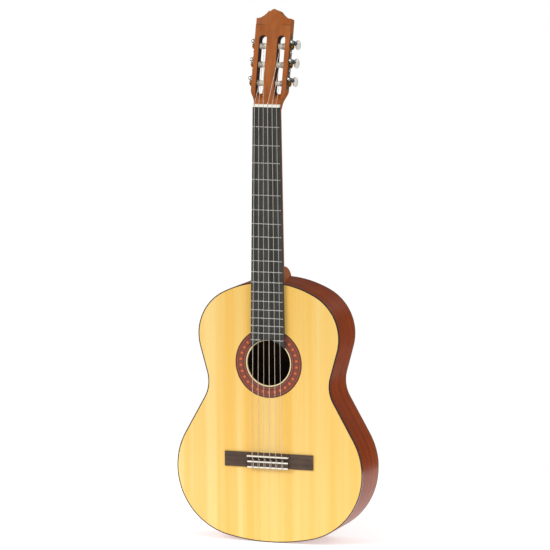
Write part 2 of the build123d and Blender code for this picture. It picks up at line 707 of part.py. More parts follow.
with BuildPart() as bridge:
    with BuildSketch(bridge_side(0)):
        with BuildLine():
            Polyline(
                (0, 0), (EDGE_H, 0), (WING_H, EDGE_W), (WING_H, BRIDGE_W - EDGE_W),
                (EDGE_H, BRIDGE_W), (0, BRIDGE_W), close=True,
            )
        make_face()
    extrude(amount=BRIDGE_HALF, both=True)
    # The wings thin out towards their ends.
    with BuildSketch(Plane(origin=(0, TOP_Y, BRIDGE_TOP_Z), x_dir=(1, 0, 0), z_dir=(0, 0, -1))):
        for side in (-1, 1):
            tip, root = side * (BRIDGE_HALF + 1), side * (BRIDGE_HALF - WING_TAPER)
            above = WING_H + 2
            Polygon((root, WING_H), (tip, WING_TIP_H), (tip, above), (root, above), align=None)
    extrude(amount=BRIDGE_W, mode=Mode.SUBTRACT)
    with BuildSketch(bridge_side(0)):
        with BuildLine():
            Polyline(
                (0, 0), (EDGE_H, 0), (RIDGE_H, EDGE_W), (RIDGE_H, RIDGE_END_T), (TROUGH_H, TROUGH_T),
                (TROUGH_H, BLOCK_T0), (BLOCK_H, BLOCK_T0), (BLOCK_H, BRIDGE_W), (0, BRIDGE_W),
                close=True,
            )
        make_face()
    extrude(amount=BLOCK_HALF, both=True)
    # The trough between ridge and block is cut down through the wing stock.
    with BuildSketch(bridge_side(0)):
        with Locations((TROUGH_H + BLOCK_H / 2, (TROUGH_T + BLOCK_T0) / 2)):
            Rectangle(BLOCK_H, BLOCK_T0 - TROUGH_T)
    extrude(amount=BLOCK_HALF, both=True, mode=Mode.SUBTRACT)
    with BuildSketch(facing(-SADDLE_TOP)):
        with Locations((0, SADDLE_Z)):
            Rectangle(2 * BLOCK_HALF, SADDLE_T + GLUE)
    extrude(amount=TROUGH_H - SADDLE_TOP, mode=Mode.SUBTRACT)
    for t in (BLOCK_T0 + STRIP_W / 2, BRIDGE_W - STRIP_W / 2):
        with BuildSketch(facing(-SADDLE_TOP)):
            with Locations((0, BRIDGE_TOP_Z - t)):
                Rectangle(2 * BLOCK_HALF, STRIP_W)
        extrude(amount=BLOCK_H - STRIP_T - SADDLE_TOP, mode=Mode.SUBTRACT)
    for x in STRING_X_SADDLE:
        hole_mouth = (x, TOP_Y - TIE_HOLE_H, BRIDGE_TOP_Z - BLOCK_T0 + 1)
        with BuildSketch(Plane(origin=hole_mouth, z_dir=(0, 0, -1))):
            Circle(TIE_HOLE_R)
        extrude(amount=BRIDGE_W, mode=Mode.SUBTRACT)
save(bridge.part, "bridge")

with BuildPart() as tie_block_strips:
    for t in (BLOCK_T0 + STRIP_W / 2, BRIDGE_W - STRIP_W / 2):
        with BuildSketch(facing(STRIP_T - BLOCK_H)):
            with Locations((0, BRIDGE_TOP_Z - t)):
                Rectangle(2 * BLOCK_HALF, STRIP_W)
        extrude(amount=STRIP_T)
save(tie_block_strips.part, "tie_block_strips")

with BuildPart() as saddle:
    with BuildSketch(facing(-TROUGH_H)):
        with Locations((0, SADDLE_Z)):
            Rectangle(2 * BLOCK_HALF - 0.2, SADDLE_T)
    extrude(amount=SADDLE_TOP - TROUGH_H)
    fillet(saddle.faces().sort_by(Axis.Y)[0].edges().filter_by(Axis.X), 1.2)
save(saddle.part, "saddle")

# =====================================================================================
# Tuning machines. Strings 1 to 3 are on the treble side, 4 to 6 on the bass side, and the
# outer strings go to the rollers nearest the nut.
# =====================================================================================


def stage(plane, length, radius):
    """One stage of a turned shaft, from this plane outwards."""
    with BuildPart(plane, mode=Mode.PRIVATE) as turned:
        Cylinder(radius, length, align=(Align.CENTER, Align.CENTER, Align.MIN))
    return turned.part


def gear_corners():
    """Corners of a gear wheel's outline: four to each tooth."""
    tooth = 2 * pi / GEAR_TEETH
    flanks = ((GEAR_ROOT_R, -0.28), (GEAR_TIP_R, -0.15), (GEAR_TIP_R, 0.15), (GEAR_ROOT_R, 0.28))
    corners = []
    for step in range(GEAR_TEETH):
        for radius, offset in flanks:
            angle = (step + 0.5 + offset) * tooth
            corners.append((radius * cos(angle), radius * sin(angle)))
    return corners


for index, (side, place, wrap_x, wrap_w) in enumerate(zip(SIDES, ROLLER_OF, WRAP_X, WRAP_W)):
    number = index + 1
    s = ROLLER_S[place]
    diameter = STRING_DIAMETERS[index]
    coil_start = wrap_x + diameter / 2 + 0.3

    # The roller: a pin in the centre bar, the barrel with its turns of string, the axle.
    inner_x = SLOT_X - SLOT_HALF
    outer_x = SLOT_X + SLOT_HALF
    with BuildPart() as roller:
        add(stage(head_side(side, inner_x - PIN_LONG, s), PIN_LONG + BARREL_GAP, PIN_R))
        add(stage(head_side(side, inner_x + BARREL_GAP, s), 2 * (SLOT_HALF - BARREL_GAP), ROLLER_R))
        add(stage(head_side(side, coil_start, s), wrap_w, ROLLER_R + diameter))
        add(stage(head_side(side, outer_x - BARREL_GAP, s), GEAR_IN + BARREL_GAP - outer_x, AXLE_R))
        add(stage(head_side(side, GEAR_IN, s), GEAR_OUT - GEAR_IN, GEAR_SEAT_R))
        with BuildSketch(head_face(-5)):
            with Locations((side * (wrap_x - 3.0), s)):
                Circle(0.8)
        extrude(amount=-30, mode=Mode.SUBTRACT)
    save(roller.part, f"roller_{number}")

    # The gear wheel, with a gap between two teeth facing the worm, and its screw's head.
    with BuildPart() as gear:
        with BuildSketch(head_side(side, GEAR_IN, s)):
            Polygon(*gear_corners(), align=None)
            Circle(GEAR_SEAT_R, mode=Mode.SUBTRACT)
        extrude(amount=GEAR_OUT - GEAR_IN)
        add(stage(head_side(side, GEAR_OUT, s), GEAR_SCREW_H, GEAR_SCREW_R))
        with BuildSketch(head_side(side, GEAR_OUT + GEAR_SCREW_H / 2, s)):
            Rectangle(0.7, 3 * GEAR_SCREW_R)
        extrude(amount=GEAR_SCREW_H, mode=Mode.SUBTRACT)
    save(gear.part, f"gear_wheel_{number}")

    # The worm's shaft, square to the headstock's face, up beside the gear.
    worm_s = s + WORM_OFFSET
    worm_x = side * GEAR_X
    head_end = LUGS_W[0][0] - 0.2
    core_from = LUGS_W[0][1] + 0.2
    core_to = LUGS_W[1][0] - 0.2
    shaft_end = BUTTON_W + COLLAR_LONG + 1
    with BuildPart() as worm_shaft:
        add(stage(head_behind(worm_x, worm_s, head_end - 1.2), 1.2, WORM_HEAD_R))
        add(stage(head_behind(worm_x, worm_s, head_end), core_from - head_end, WORM_SHAFT_R))
        add(stage(head_behind(worm_x, worm_s, core_from), core_to - core_from, WORM_CORE_R))
        add(stage(head_behind(worm_x, worm_s, core_to), shaft_end - core_to, WORM_SHAFT_R))
    save(worm_shaft.part, f"worm_shaft_{number}")

    # The button: a collar, then a flattened oval.
    with BuildPart() as button:
        with BuildSketch(head_side(side, GEAR_X, worm_s, BUTTON_MID_W)):
            Ellipse(BUTTON_RX, BUTTON_RY)
        extrude(amount=BUTTON_HALF_T, both=True)
        fillet(button.edges(), BUTTON_HALF_T - 1)
        collar = head_behind(worm_x, worm_s, BUTTON_W)
        add(stage(collar, COLLAR_LONG, COLLAR_R))
        add(stage(collar, COLLAR_LONG + 1, WORM_SHAFT_R), mode=Mode.SUBTRACT)
    save(button.part, f"button_{number}")

for side, name in ((-1, "tuner_plate_bass"), (1, "tuner_plate_treble")):
    with BuildPart() as plate:
        with BuildSketch(head_side(side, HEAD_HALF, 0)):
            with Locations(((SCREW_S[0] + SCREW_S[-1]) / 2, 0)):
                Rectangle(SCREW_S[-1] - SCREW_S[0], PLATE_BAR)
            with Locations(*[(s, 0) for s in SCREW_S]):
                Circle(PLATE_EYE_R)
            with Locations(*[(s, 0) for s in ROLLER_S]):
                Circle(PLATE_BOSS_R)
            with Locations(*[(s + WORM_OFFSET, 0) for s in ROLLER_S]):
                Rectangle(*WINDOW_FRAME)
                Rectangle(*WINDOW, mode=Mode.SUBTRACT)
        extrude(amount=PLATE_T)
        lug_x = side * (HEAD_HALF + PLATE_T + LUG_OUT / 2)
        for s in ROLLER_S:
            for low, high in LUGS_W:
                with BuildSketch(head_behind(lug_x, s + WORM_OFFSET, low)):
                    Rectangle(LUG_OUT, LUG_WIDE)
                extrude(amount=high - low)
        with BuildSketch(head_side(side, HEAD_HALF, 0)):
            with Locations(*[(s, 0) for s in ROLLER_S]):
                Circle(AXLE_R + RUNNING_GAP)
            with Locations(*[(s, 0) for s in SCREW_S]):
                Circle(SCREW_R)
        extrude(amount=PLATE_T, mode=Mode.SUBTRACT)
        for s in ROLLER_S:
            with BuildSketch(head_behind(side * GEAR_X, s + WORM_OFFSET, 0)):
                Circle(WORM_SHAFT_R + RUNNING_GAP)
            extrude(amount=HEAD_T, mode=Mode.SUBTRACT)
    save(plate.part, name)

with BuildPart() as plate_screws:
    for side in (-1, 1):
        for s in SCREW_S:
            add(stage(head_side(side, HEAD_HALF - SCREW_LONG, s), SCREW_LONG + PLATE_T, SCREW_R))
            add(stage(head_side(side, HEAD_HALF + PLATE_T, s), SCREW_HEAD_H, SCREW_HEAD_R))
save(plate_screws.part, "plate_screws")

# =====================================================================================
# Strings, each from its loop on the tie block over saddle and nut to its roller
# =====================================================================================

def at_bridge(x, t, height):
    """A point over the bridge: across, down from its upper edge, and off the soundboard."""
    return Vector(x, TOP_Y - height, BRIDGE_TOP_Z - t)


for index, diameter in enumerate(STRING_DIAMETERS):
    radius = diameter / 2
    x, nut_x = STRING_X_SADDLE[index], STRING_X_NUT[index]
    over_block = BLOCK_H + 0.1 + radius
    roller_s = ROLLER_S[ROLLER_OF[index]]
    lift = ROLLER_R + radius + 0.3
    route = [
        at_bridge(x + 1.9, 13.3, 7.4),
        at_bridge(x + 1.9, 13.6, over_block),
        at_bridge(x + 0.9, BRIDGE_W + 1.4, over_block),
        at_bridge(x, BRIDGE_W + 1.4, TIE_HOLE_H),
        at_bridge(x, 14.2, TIE_HOLE_H),
        at_bridge(x, 7.3, SADDLE_TOP + radius + 0.05),
        Vector(nut_x, TOP_Y - STRING_H_AT_NUT - radius, NUT_Z + NUT_T),
        head_point(SIDES[index] * WRAP_X[index], roller_s, AXLE_W - lift),
    ]
    with BuildPart() as string:
        with BuildLine() as path:
            FilletPolyline(*route, radius=[1.2, 1.2, 1.2, 1.2, 3.0, 4.0])
        with BuildSketch(Plane(origin=path.line @ 0, z_dir=path.line % 0)):
            Circle(radius)
        sweep()
    save(string.part, f"string_{index + 1}")
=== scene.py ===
import json
from math import ceil, cos, exp, pi, radians, sin

import bpy
from mathutils import Matrix, Vector


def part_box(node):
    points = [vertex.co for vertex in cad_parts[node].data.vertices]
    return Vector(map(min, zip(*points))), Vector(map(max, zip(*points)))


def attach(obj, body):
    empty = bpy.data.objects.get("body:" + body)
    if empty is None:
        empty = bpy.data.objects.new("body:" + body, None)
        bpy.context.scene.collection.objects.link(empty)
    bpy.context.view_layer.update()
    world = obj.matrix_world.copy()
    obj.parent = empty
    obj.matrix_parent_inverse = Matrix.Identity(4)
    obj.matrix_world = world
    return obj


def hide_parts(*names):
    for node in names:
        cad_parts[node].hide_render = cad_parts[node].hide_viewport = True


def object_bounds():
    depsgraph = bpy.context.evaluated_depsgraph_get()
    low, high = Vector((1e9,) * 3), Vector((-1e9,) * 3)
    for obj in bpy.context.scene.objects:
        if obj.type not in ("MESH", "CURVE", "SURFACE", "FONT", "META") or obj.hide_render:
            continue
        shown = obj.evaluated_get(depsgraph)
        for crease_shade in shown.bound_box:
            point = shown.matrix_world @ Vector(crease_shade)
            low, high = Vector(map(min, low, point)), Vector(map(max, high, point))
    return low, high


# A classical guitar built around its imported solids. X runs across it with the bass side negative,
# Y from the soundboard to the back, Z up along the neck. Everything is in metres.

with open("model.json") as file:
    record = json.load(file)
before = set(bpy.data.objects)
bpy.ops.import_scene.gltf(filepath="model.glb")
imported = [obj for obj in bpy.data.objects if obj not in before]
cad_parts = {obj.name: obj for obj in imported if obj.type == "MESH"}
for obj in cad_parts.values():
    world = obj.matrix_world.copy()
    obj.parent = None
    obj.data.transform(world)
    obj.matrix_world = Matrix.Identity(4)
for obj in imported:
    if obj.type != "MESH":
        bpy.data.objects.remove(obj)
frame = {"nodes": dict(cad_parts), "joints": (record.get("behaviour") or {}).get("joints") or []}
CAD_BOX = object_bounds()
NODES = frame["nodes"]
JOINTS = {joint["name"]: joint for joint in frame["joints"]}
MM = 0.001


STRINGS = range(1, 7)
TREBLES = (1, 2, 3)
BASSES = (4, 5, 6)


def middle(node):
    """Centre of a CAD node's box."""
    low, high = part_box(node)
    return (low + high) / 2


def pivot(kind, number):
    """A point on the axis that a button or a roller turns about."""
    return Vector(JOINTS[f"{kind}_{number}_turn"]["pos_m"])


# ---- places read from the frame, and the headstock's sizes ----
X_AXIS = Vector((1, 0, 0))
HEAD_BACK = Vector(JOINTS["button_1_turn"]["axis"]).normalized()
HEAD_UP = X_AXIS.cross(HEAD_BACK)
FACE_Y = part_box("soundboard")[0].y
HOLE = middle("rosette")
ROLLER_UP = sorted(pivot("roller", n).dot(HEAD_UP) for n in TREBLES)
AXLE_BACK = pivot("roller", 1).dot(HEAD_BACK)
AXLE_DEEP = 9.5 * MM
FACE_DEEP = AXLE_BACK - AXLE_DEEP
SLOT_LOW_UP = ROLLER_UP[0] - 20 * MM
SLOT_X = 18.0 * MM
SLOT_HALF = 7.5 * MM
SLOT_LONG = 108.5 * MM
SCOOP_UP = SLOT_LOW_UP + 128 * MM
ROSETTE_MOTIFS = 30
ROSETTE_IN = 45.3 * MM

# ---- sizes of the tuning machines and of the string ties ----
ROLLER_R = 5.0 * MM
AXLE_R = 3.0 * MM
PIN_R = 2.5 * MM
WORM_CORE_R = 2.2 * MM
WORM_CREST_R = 3.3 * MM
WORM_LEAD = 2.25 * MM
WORM_SHAFT_R = 1.5 * MM
BUTTON_MID = 39.0 * MM
BUTTON_LONG = 9.6 * MM
BUTTON_WIDE = 9.2 * MM
BUTTON_THICK = 4.0 * MM
PLATE_T = 1.2 * MM
PLATE_OUT_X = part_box("tuner_plate_treble")[0].x + PLATE_T
POST_R = 4.0 * MM
POST_BORE_R = 1.62 * MM
POST_T = 1.7 * MM
POST_OFF = 5.65 * MM
STRING_STEP = 58.0 * MM / 5
# For strings 1 to 6, in millimetres: how thick each is, and how far from the middle it arrives.
STRING_DIAMETERS = [0.71, 0.82, 1.02, 0.76, 0.89, 1.09]
WRAP_X = [19.4, 17.2, 16.4, 16.4, 17.2, 19.4]


# =====================================================================================
# Node trees
# =====================================================================================

class Value:
    """One number in a node tree, with arithmetic that adds its Math nodes."""

    def __init__(self, nodes, socket):
        self.nodes = nodes
        self.socket = socket

    def maths(self, operation, *others):
        inputs = dict(enumerate((self,) + others))
        return self.nodes.add("ShaderNodeMath", {"operation": operation}, inputs).value()

    def __add__(self, other):
        return self.maths("ADD", other)

    def __sub__(self, other):
        return self.maths("SUBTRACT", other)

    def __rsub__(self, other):
        return self.nodes.number(other).maths("SUBTRACT", self)

    def __mul__(self, other):
        return self.maths("MULTIPLY", other)

    def __truediv__(self, other):
        return self.maths("DIVIDE", other)

    def __pow__(self, other):
        return self.maths("POWER", other)

    def __gt__(self, other):
        return self.maths("GREATER_THAN", other)

    def __lt__(self, other):
        return self.maths("LESS_THAN", other)

    def __abs__(self):
        return self.maths("ABSOLUTE")

    __radd__ = __add__
    __rmul__ = __mul__


class Added:
    """A node just added, which hands out its outputs."""

    def __init__(self, nodes, node):
        self.nodes = nodes
        self.node = node

    def value(self, output=0):
        return Value(self.nodes, self.node.outputs[output])


class Nodes:
    """A node tree, with one method that adds any node."""

    def __init__(self, tree):
        self.tree = tree

    def add(self, kind, settings=None, inputs=None):
        node = self.tree.nodes.new(kind)
        for name, setting in (settings or {}).items():
            setattr(node, name, setting)
        for name, wanted in (inputs or {}).items():
            socket = self.find(node, name)
            if isinstance(wanted, Value):
                self.tree.links.new(wanted.socket, socket)
            else:
                socket.default_value = wanted
        return Added(self, node)

    @staticmethod
    def find(node, name):
        for socket in node.inputs:
            if socket.identifier == name:
                return socket
        return node.inputs[name]

    def number(self, number):
        return self.add("ShaderNodeMath", {"operation": "ADD"}, {0: number, 1: 0.0}).value()


class Finish(Nodes):
    """A material, with the patterns that the finishes share."""

    def __init__(self, name):
        self.material = bpy.data.materials.new(name)
        self.material.use_nodes = True
        super().__init__(self.material.node_tree)
        self.tree.nodes.clear()
        coordinates = self.add("ShaderNodeTexCoord")
        self.place = coordinates.value("Object")
        self.facing = coordinates.value("Normal")

    def xyz(self):
        split = self.add("ShaderNodeSeparateXYZ", None, {"Vector": self.place})
        return split.value("X"), split.value("Y"), split.value("Z")

    def point(self, x, y, z):
        return self.add("ShaderNodeCombineXYZ", None, {"X": x, "Y": y, "Z": z}).value()

    def along(self, direction):
        """How far the place lies along a direction."""
        inputs = {0: self.place, 1: direction}
        return self.add("ShaderNodeVectorMath", {"operation": "DOT_PRODUCT"}, inputs).value("Value")

    def noise(self, where, scale, detail=3.0, roughness=0.5, distortion=0.0):
        inputs = {
            "Vector": where, "Scale": scale, "Detail": detail,
            "Roughness": roughness, "Distortion": distortion,
        }
        return self.add("ShaderNodeTexNoise", None, inputs).value("Fac")

    def between(self, number, low, high):
        """The number's place between low and high, held to 0 and 1."""
        inputs = {"Value": number, "From Min": low, "From Max": high}
        return self.add("ShaderNodeMapRange", {"clamp": True}, inputs).value()

    def mix(self, share, first, second):
        inputs = {"Factor_Float": share, "A_Color": first, "B_Color": second}
        return self.add("ShaderNodeMix", {"data_type": "RGBA"}, inputs).value(2)

    def bump(self, height, depth, strength=1.0):
        inputs = {"Height": height, "Distance": depth, "Strength": strength}
        return self.add("ShaderNodeBump", None, inputs).value()

    def finish(self, colour, roughness, normal=None, **plain):
        inputs = {"Base Color": colour, "Roughness": roughness}
        if normal is not None:
            inputs["Normal"] = normal
        for name, setting in plain.items():
            inputs[name.replace("_", " ")] = setting
        surface = self.add("ShaderNodeBsdfPrincipled", None, inputs).value()
        self.add("ShaderNodeOutputMaterial", None, {"Surface": surface})
        return self.material


def linear(part):
    """One part of a colour, from 0 to 255, made ready for light."""
    part = part / 255
    return part / 12.92 if part <= 0.04045 else ((part + 0.055) / 1.055) ** 2.4


def paint(red, green, blue):
    """A colour as a painter mixes it, each part from 0 to 255."""
    return (linear(red), linear(green), linear(blue), 1.0)


# =====================================================================================
# Finishes
# =====================================================================================

def spruce_top():
    """Book-matched spruce: fine straight year lines, soft bands, silk across them, lacquer."""
    made = Finish("spruce_top")
    x, _, z = made.xyz()
    side = abs(x)
    drift = made.noise(made.point(side * 9, 0.0, z * 1.6), 1.0, 2.0)
    across = side + (drift - 0.5) * 0.010
    spacing = made.noise(made.point(across * 60, 0.0, z * 0.3), 1.0, 2.0)
    rings = made.noise(made.point(across * 900, 0.0, z * 1.2), 1.0, 2.0, 0.6)
    lines = made.between(rings, 0.46, 0.74) * made.between(spacing, 0.2, 0.7)
    bands = made.noise(made.point(across * 42, x * 3, z * 0.8), 1.0, 3.0)
    silk = made.noise(made.point(x * 90, 0.0, z * 420), 1.0, 2.0)
    colour = made.mix(made.between(bands, 0.37, 0.63), paint(250, 218, 142), paint(244, 197, 102))
    colour = made.mix(made.between(x, -0.20, 0.24) * 0.42, colour, paint(247, 196, 84))
    colour = made.mix(lines * 0.42, colour, paint(222, 160, 62))
    colour = made.mix(made.between(silk, 0.60, 0.80) * 0.16, colour, paint(255, 235, 170))
    seam = made.between(side, 0.0003, 0.0) * 0.35
    colour = made.mix(seam, colour, paint(190, 130, 60))
    out = ((x - HOLE.x) ** 2 + (z - HOLE.z) ** 2).maths("SQRT")
    colour = made.mix((out < ROSETTE_IN) * 0.8, colour, paint(250, 238, 196))
    line = (out > ROSETTE_IN - 1.0 * MM) * (out < ROSETTE_IN)
    colour = made.mix(line * 0.85, colour, paint(66, 32, 24))
    normal = made.bump(lines, 0.00004, 0.35)
    shine = 0.27 + lines * 0.06
    plain = {"Specular_IOR_Level": 0.3, "Coat_Weight": 0.12, "Coat_Roughness": 0.1}
    return made.finish(colour, shine, normal, **plain)


def figured_wood(name, light, dark, deep, along, fine=1.0, pores=0.35, shine=0.3, coat=0.0):
    """Straight-grained wood with broad streaks, fine lines and pores that run one way.

    along names the grain's axis. "round" is the bent sides' grain, which keeps its depth.
    "mirrored" is the back's, whose inner face gets painted shade and is left dull. "head" is the
    headstock's, whose slot walls and the crease where each scoop starts get painted shade.
    """
    made = Finish(name)
    x, y, z = made.xyz()
    stretch = {
        "x": (0.03, 1.0, 1.0), "z": (1.0, 1.0, 0.03), "round": (0.03, 1.0, 0.03),
        "mirrored": (1.0, 0.2, 0.03), "head": (1.0, 1.0, 0.03),
    }[along]
    if along == "mirrored":
        x = abs(x)
    wander = made.noise(made.point(x * 6, y * 6, z * 6), 1.0, 2.0)
    shift = (wander - 0.5) * 0.012
    where = made.point((x + shift) * stretch[0], (y + shift) * stretch[1], (z + shift) * stretch[2])
    streaks = made.between(made.noise(where, 85.0 * fine, 4.0, 0.55), 0.33, 0.68)
    lines = made.between(made.noise(where, 620.0 * fine, 3.0, 0.6), 0.42, 0.72)
    flecks = made.between(made.noise(where, 1900.0 * fine, 2.0, 0.6), 0.60, 0.72)
    flame = made.between(made.noise(made.point(x, y, z), 38.0, 3.0, 0.6, 0.6), 0.35, 0.7)
    colour = made.mix(streaks, light, dark)
    colour = made.mix(lines * 0.45, colour, dark)
    colour = made.mix(flame * 0.22, colour, deep)
    colour = made.mix(flecks * pores, colour, deep)
    shine = shine + flecks * 0.12
    if along == "mirrored":
        facing = made.add("ShaderNodeSeparateXYZ", None, {"Vector": made.facing}).value("Y")
        inner = facing < -0.5
        # Painted shade: the back's inner face, seen through the sound hole, is darkened to stand in
        # for the shade inside the body, and is made duller.
        colour = made.mix(inner, colour, paint(66, 50, 26))
        shine = shine + inner * 0.5
    normal = made.bump(1 - flecks * 0.8 - lines * 0.2, 0.00006, 0.3)
    if along == "head":
        # Painted shade: the slot walls and the crease where each scoop starts are darkened.
        colour = made.mix(painted_head_shade(made), colour, paint(44, 22, 12))
    plain = {"Specular_IOR_Level": 0.12, "Coat_Weight": coat, "Coat_Roughness": 0.12}
    return made.finish(colour, shine, normal, **plain)


def painted_head_shade(made):
    """Painted shade on the headstock: darkening down its slot walls, and along the crease where
    each scoop starts.
    """
    side = abs(made.along(X_AXIS))
    deep = made.along(HEAD_BACK)
    up = made.along(HEAD_UP)
    below = made.between(deep, FACE_DEEP + 1.0 * MM, FACE_DEEP + 2.5 * MM)
    beside = abs(side - SLOT_X) < SLOT_HALF + 0.15 * MM
    above = made.between(up, SLOT_LOW_UP - 3 * MM, SLOT_LOW_UP + 4 * MM)
    above = above * (up < SLOT_LOW_UP + SLOT_LONG + 0.2 * MM)
    # Painted shade down the slot walls, deepening from 1 mm below the face to full at 2.5 mm.
    slot_shade = below * beside * above * (deep < FACE_DEEP + 18.5 * MM) * 0.9
    # Painted shade in a thin line along the crease where each scoop starts.
    crease_shade = made.between(abs(up - SCOOP_UP), 0.9 * MM, 0.3 * MM) * (deep < FACE_DEEP + 3 * MM)
    return slot_shade + crease_shade * made.between(side, 12 * MM, 30 * MM) * 0.55


def rosette_mosaic():
    """Rings of dyed wood about the sound hole, with a band of small squares and hatching."""
    made = Finish("rosette_mosaic")
    x, _, z = made.xyz()
    right = x - HOLE.x
    up = z - HOLE.z
    radius = (right * right + up * up).maths("SQRT") * 1000
    turn = up.maths("ARCTAN2", right) / (2 * pi) + 1
    cell = abs((turn * ROSETTE_MOTIFS).maths("FRACT") - 0.5)
    out = radius - 55.0
    grain = made.noise(made.point(x, 0.0, z), 900.0, 3.0)
    ground = made.mix(made.between(grain, 0.3, 0.7), paint(154, 92, 80), paint(124, 66, 56))
    band = made.between(abs(out), 4.3, 4.0)
    rungs = (made.between(abs(cell - 0.33), 0.05, 0.03) + made.between(cell, 0.46, 0.48)) * band
    colour = made.mix(rungs * 0.75, ground, paint(60, 34, 28))
    specks = made.between(made.noise(made.point(x, 0.0, z), 1300.0, 1.0), 0.52, 0.57) * band
    colour = made.mix(specks * 0.5, colour, paint(186, 112, 86))
    far = ((cell * 11.5) ** 4 + (abs(out) * 0.9) ** 4) ** 0.25
    colour = made.mix(made.between(far, 3.3, 2.9) * 0.6, colour, paint(84, 40, 34))
    colour = made.mix(made.between(far, 2.7, 2.3), colour, paint(200, 96, 56))
    colour = made.mix(made.between(far, 1.4, 0.8) * 0.5, colour, paint(228, 146, 96))
    for at, width, strength, tint in (
        (45.9, 0.50, 0.85, paint(66, 32, 24)), (47.3, 0.35, 0.60, paint(190, 116, 88)),
        (48.6, 0.35, 0.60, paint(84, 44, 34)), (50.2, 0.45, 0.80, paint(62, 32, 26)),
        (59.8, 0.45, 0.80, paint(62, 32, 26)), (61.4, 0.35, 0.55, paint(184, 112, 84)),
        (62.8, 0.50, 0.75, paint(84, 44, 32)), (64.6, 0.70, 0.90, paint(58, 36, 24)),
    ):
        ring = made.between(abs(radius - at), width + 0.12, width - 0.08)
        colour = made.mix(ring * strength, colour, tint)
    normal = made.bump(grain, 0.00003, 0.25)
    return made.finish(colour, 0.34, normal, Specular_IOR_Level=0.3, Coat_Weight=0.08)


def metal(name, colour, dull, base=0.18, metallic=1.0):
    """Plated or turned metal with faint smears and duller patches."""
    made = Finish(name)
    smears = made.between(made.noise(made.place, 420.0, 4.0, 0.6), 0.35, 0.7)
    fine = made.noise(made.place, 3200.0, 2.0)
    tint = made.mix(smears * 0.55, colour, dull)
    normal = made.bump(fine, 0.00001, 0.3)
    return made.finish(tint, base + smears * 0.14, normal, Metallic=metallic)


def pearl():
    """Pearloid plastic: soft clouded swirls under a deep gloss."""
    made = Finish("pearl")
    swirl = made.noise(made.place, 150.0, 4.0, 0.55, 2.2)
    veil = made.noise(made.place, 420.0, 3.0, 0.5, 1.4)
    colour = made.mix(made.between(swirl, 0.34, 0.66), paint(252, 249, 241), paint(232, 226, 212))
    colour = made.mix(made.between(veil, 0.5, 0.72) * 0.5, colour, paint(255, 252, 246))
    return made.finish(colour, 0.24 + swirl * 0.08, Coat_Weight=0.8, Coat_Roughness=0.05)


def bone(name, colour, shade, shine=0.3):
    """Polished bone or ivory-white plastic with faint pores."""
    made = Finish(name)
    clouds = made.noise(made.place, 240.0, 3.0)
    pores = made.between(made.noise(made.point(*made.xyz()), 2400.0, 2.0), 0.62, 0.72)
    tint = made.mix(made.between(clouds, 0.35, 0.7) * 0.6, colour, shade)
    tint = made.mix(pores * 0.15, tint, paint(190, 176, 150))
    normal = made.bump(1 - pores, 0.00002, 0.3)
    return made.finish(tint, shine + clouds * 0.08, normal)


def nylon():
    """Clear nylon, a little cloudy, which takes the tint of what lies behind it."""
    made = Finish("clear_nylon")
    cloud = made.noise(made.place, 500.0, 2.0)
    colour = made.mix(cloud, paint(238, 226, 214), paint(214, 196, 186))
    return made.finish(colour, 0.16 + cloud * 0.08, Alpha=0.82, Coat_Weight=0.4)


def wound_string():
    """Silver-plated winding: fine rings along the string, a little tarnished between them."""
    made = Finish("wound_string")
    x, _, z = made.xyz()
    wave = ((z * 2 * pi / 0.00030) + x * 900).maths("SINE") * 0.5 + 0.5
    tarnish = made.noise(made.place, 90.0, 3.0)
    colour = made.mix(made.between(tarnish, 0.35, 0.7), paint(236, 228, 214), paint(212, 198, 182))
    colour = made.mix((1 - wave) * 0.25, colour, paint(150, 134, 122))
    normal = made.bump(wave, 0.00008, 0.6)
    return made.finish(colour, 0.3 + tarnish * 0.1, normal, Metallic=0.3)


def bare_wood(name, light, dark, along):
    """Sawn inner wood with no lacquer."""
    made = Finish(name)
    x, y, z = made.xyz()
    stretch = {"x": (0.04, 1.0, 1.0), "z": (1.0, 1.0, 0.04), "round": (0.05, 1.0, 0.05)}[along]
    where = made.point(x * stretch[0], y * stretch[1], z * stretch[2])
    lines = made.between(made.noise(where, 700.0, 4.0, 0.6), 0.35, 0.7)
    broad = made.noise(where, 90.0, 3.0)
    colour = made.mix(lines * 0.6, light, dark)
    colour = made.mix(broad * 0.3, colour, dark)
    normal = made.bump(lines, 0.00008, 0.5)
    return made.finish(colour, 0.72 + lines * 0.1, normal)


def binding():
    """Dark hardwood binding under gloss lacquer."""
    made = Finish("dark_binding")
    streak = made.noise(made.place, 260.0, 4.0, 0.6)
    colour = made.mix(made.between(streak, 0.35, 0.7), paint(62, 36, 24), paint(34, 20, 15))
    normal = made.bump(streak, 0.00002, 0.3)
    return made.finish(colour, 0.22 + streak * 0.1, normal, Coat_Weight=0.5, Coat_Roughness=0.06)


SPRUCE = spruce_top()
BODY_COLOURS = paint(164, 72, 10), paint(132, 48, 3), paint(80, 22, 2)
RIB_WOOD = figured_wood("rib_wood", *BODY_COLOURS, "round", coat=0.04)
BACK_WOOD = figured_wood("back_wood", *BODY_COLOURS, "mirrored", coat=0.04)
NECK_COLOURS = paint(182, 106, 50), paint(160, 86, 36), paint(106, 48, 18)
NECK_WOOD = figured_wood("neck_wood", *NECK_COLOURS, "z", pores=0.5, shine=0.4, coat=0.05)
HEAD_WOOD = figured_wood("head_wood", *NECK_COLOURS, "head", pores=0.5, shine=0.4, coat=0.05)
BOARD_WOOD = figured_wood(
    "fingerboard_rosewood", paint(82, 84, 81), paint(58, 60, 59), paint(30, 30, 29), "z",
    fine=1.3, pores=0.55, shine=0.42,
)
BRIDGE_WOOD = figured_wood(
    "bridge_rosewood", paint(104, 86, 74), paint(72, 60, 53), paint(34, 26, 23), "x",
    fine=1.3, pores=0.55, shine=0.36,
)
ROSETTE = rosette_mosaic()
BINDING = binding()
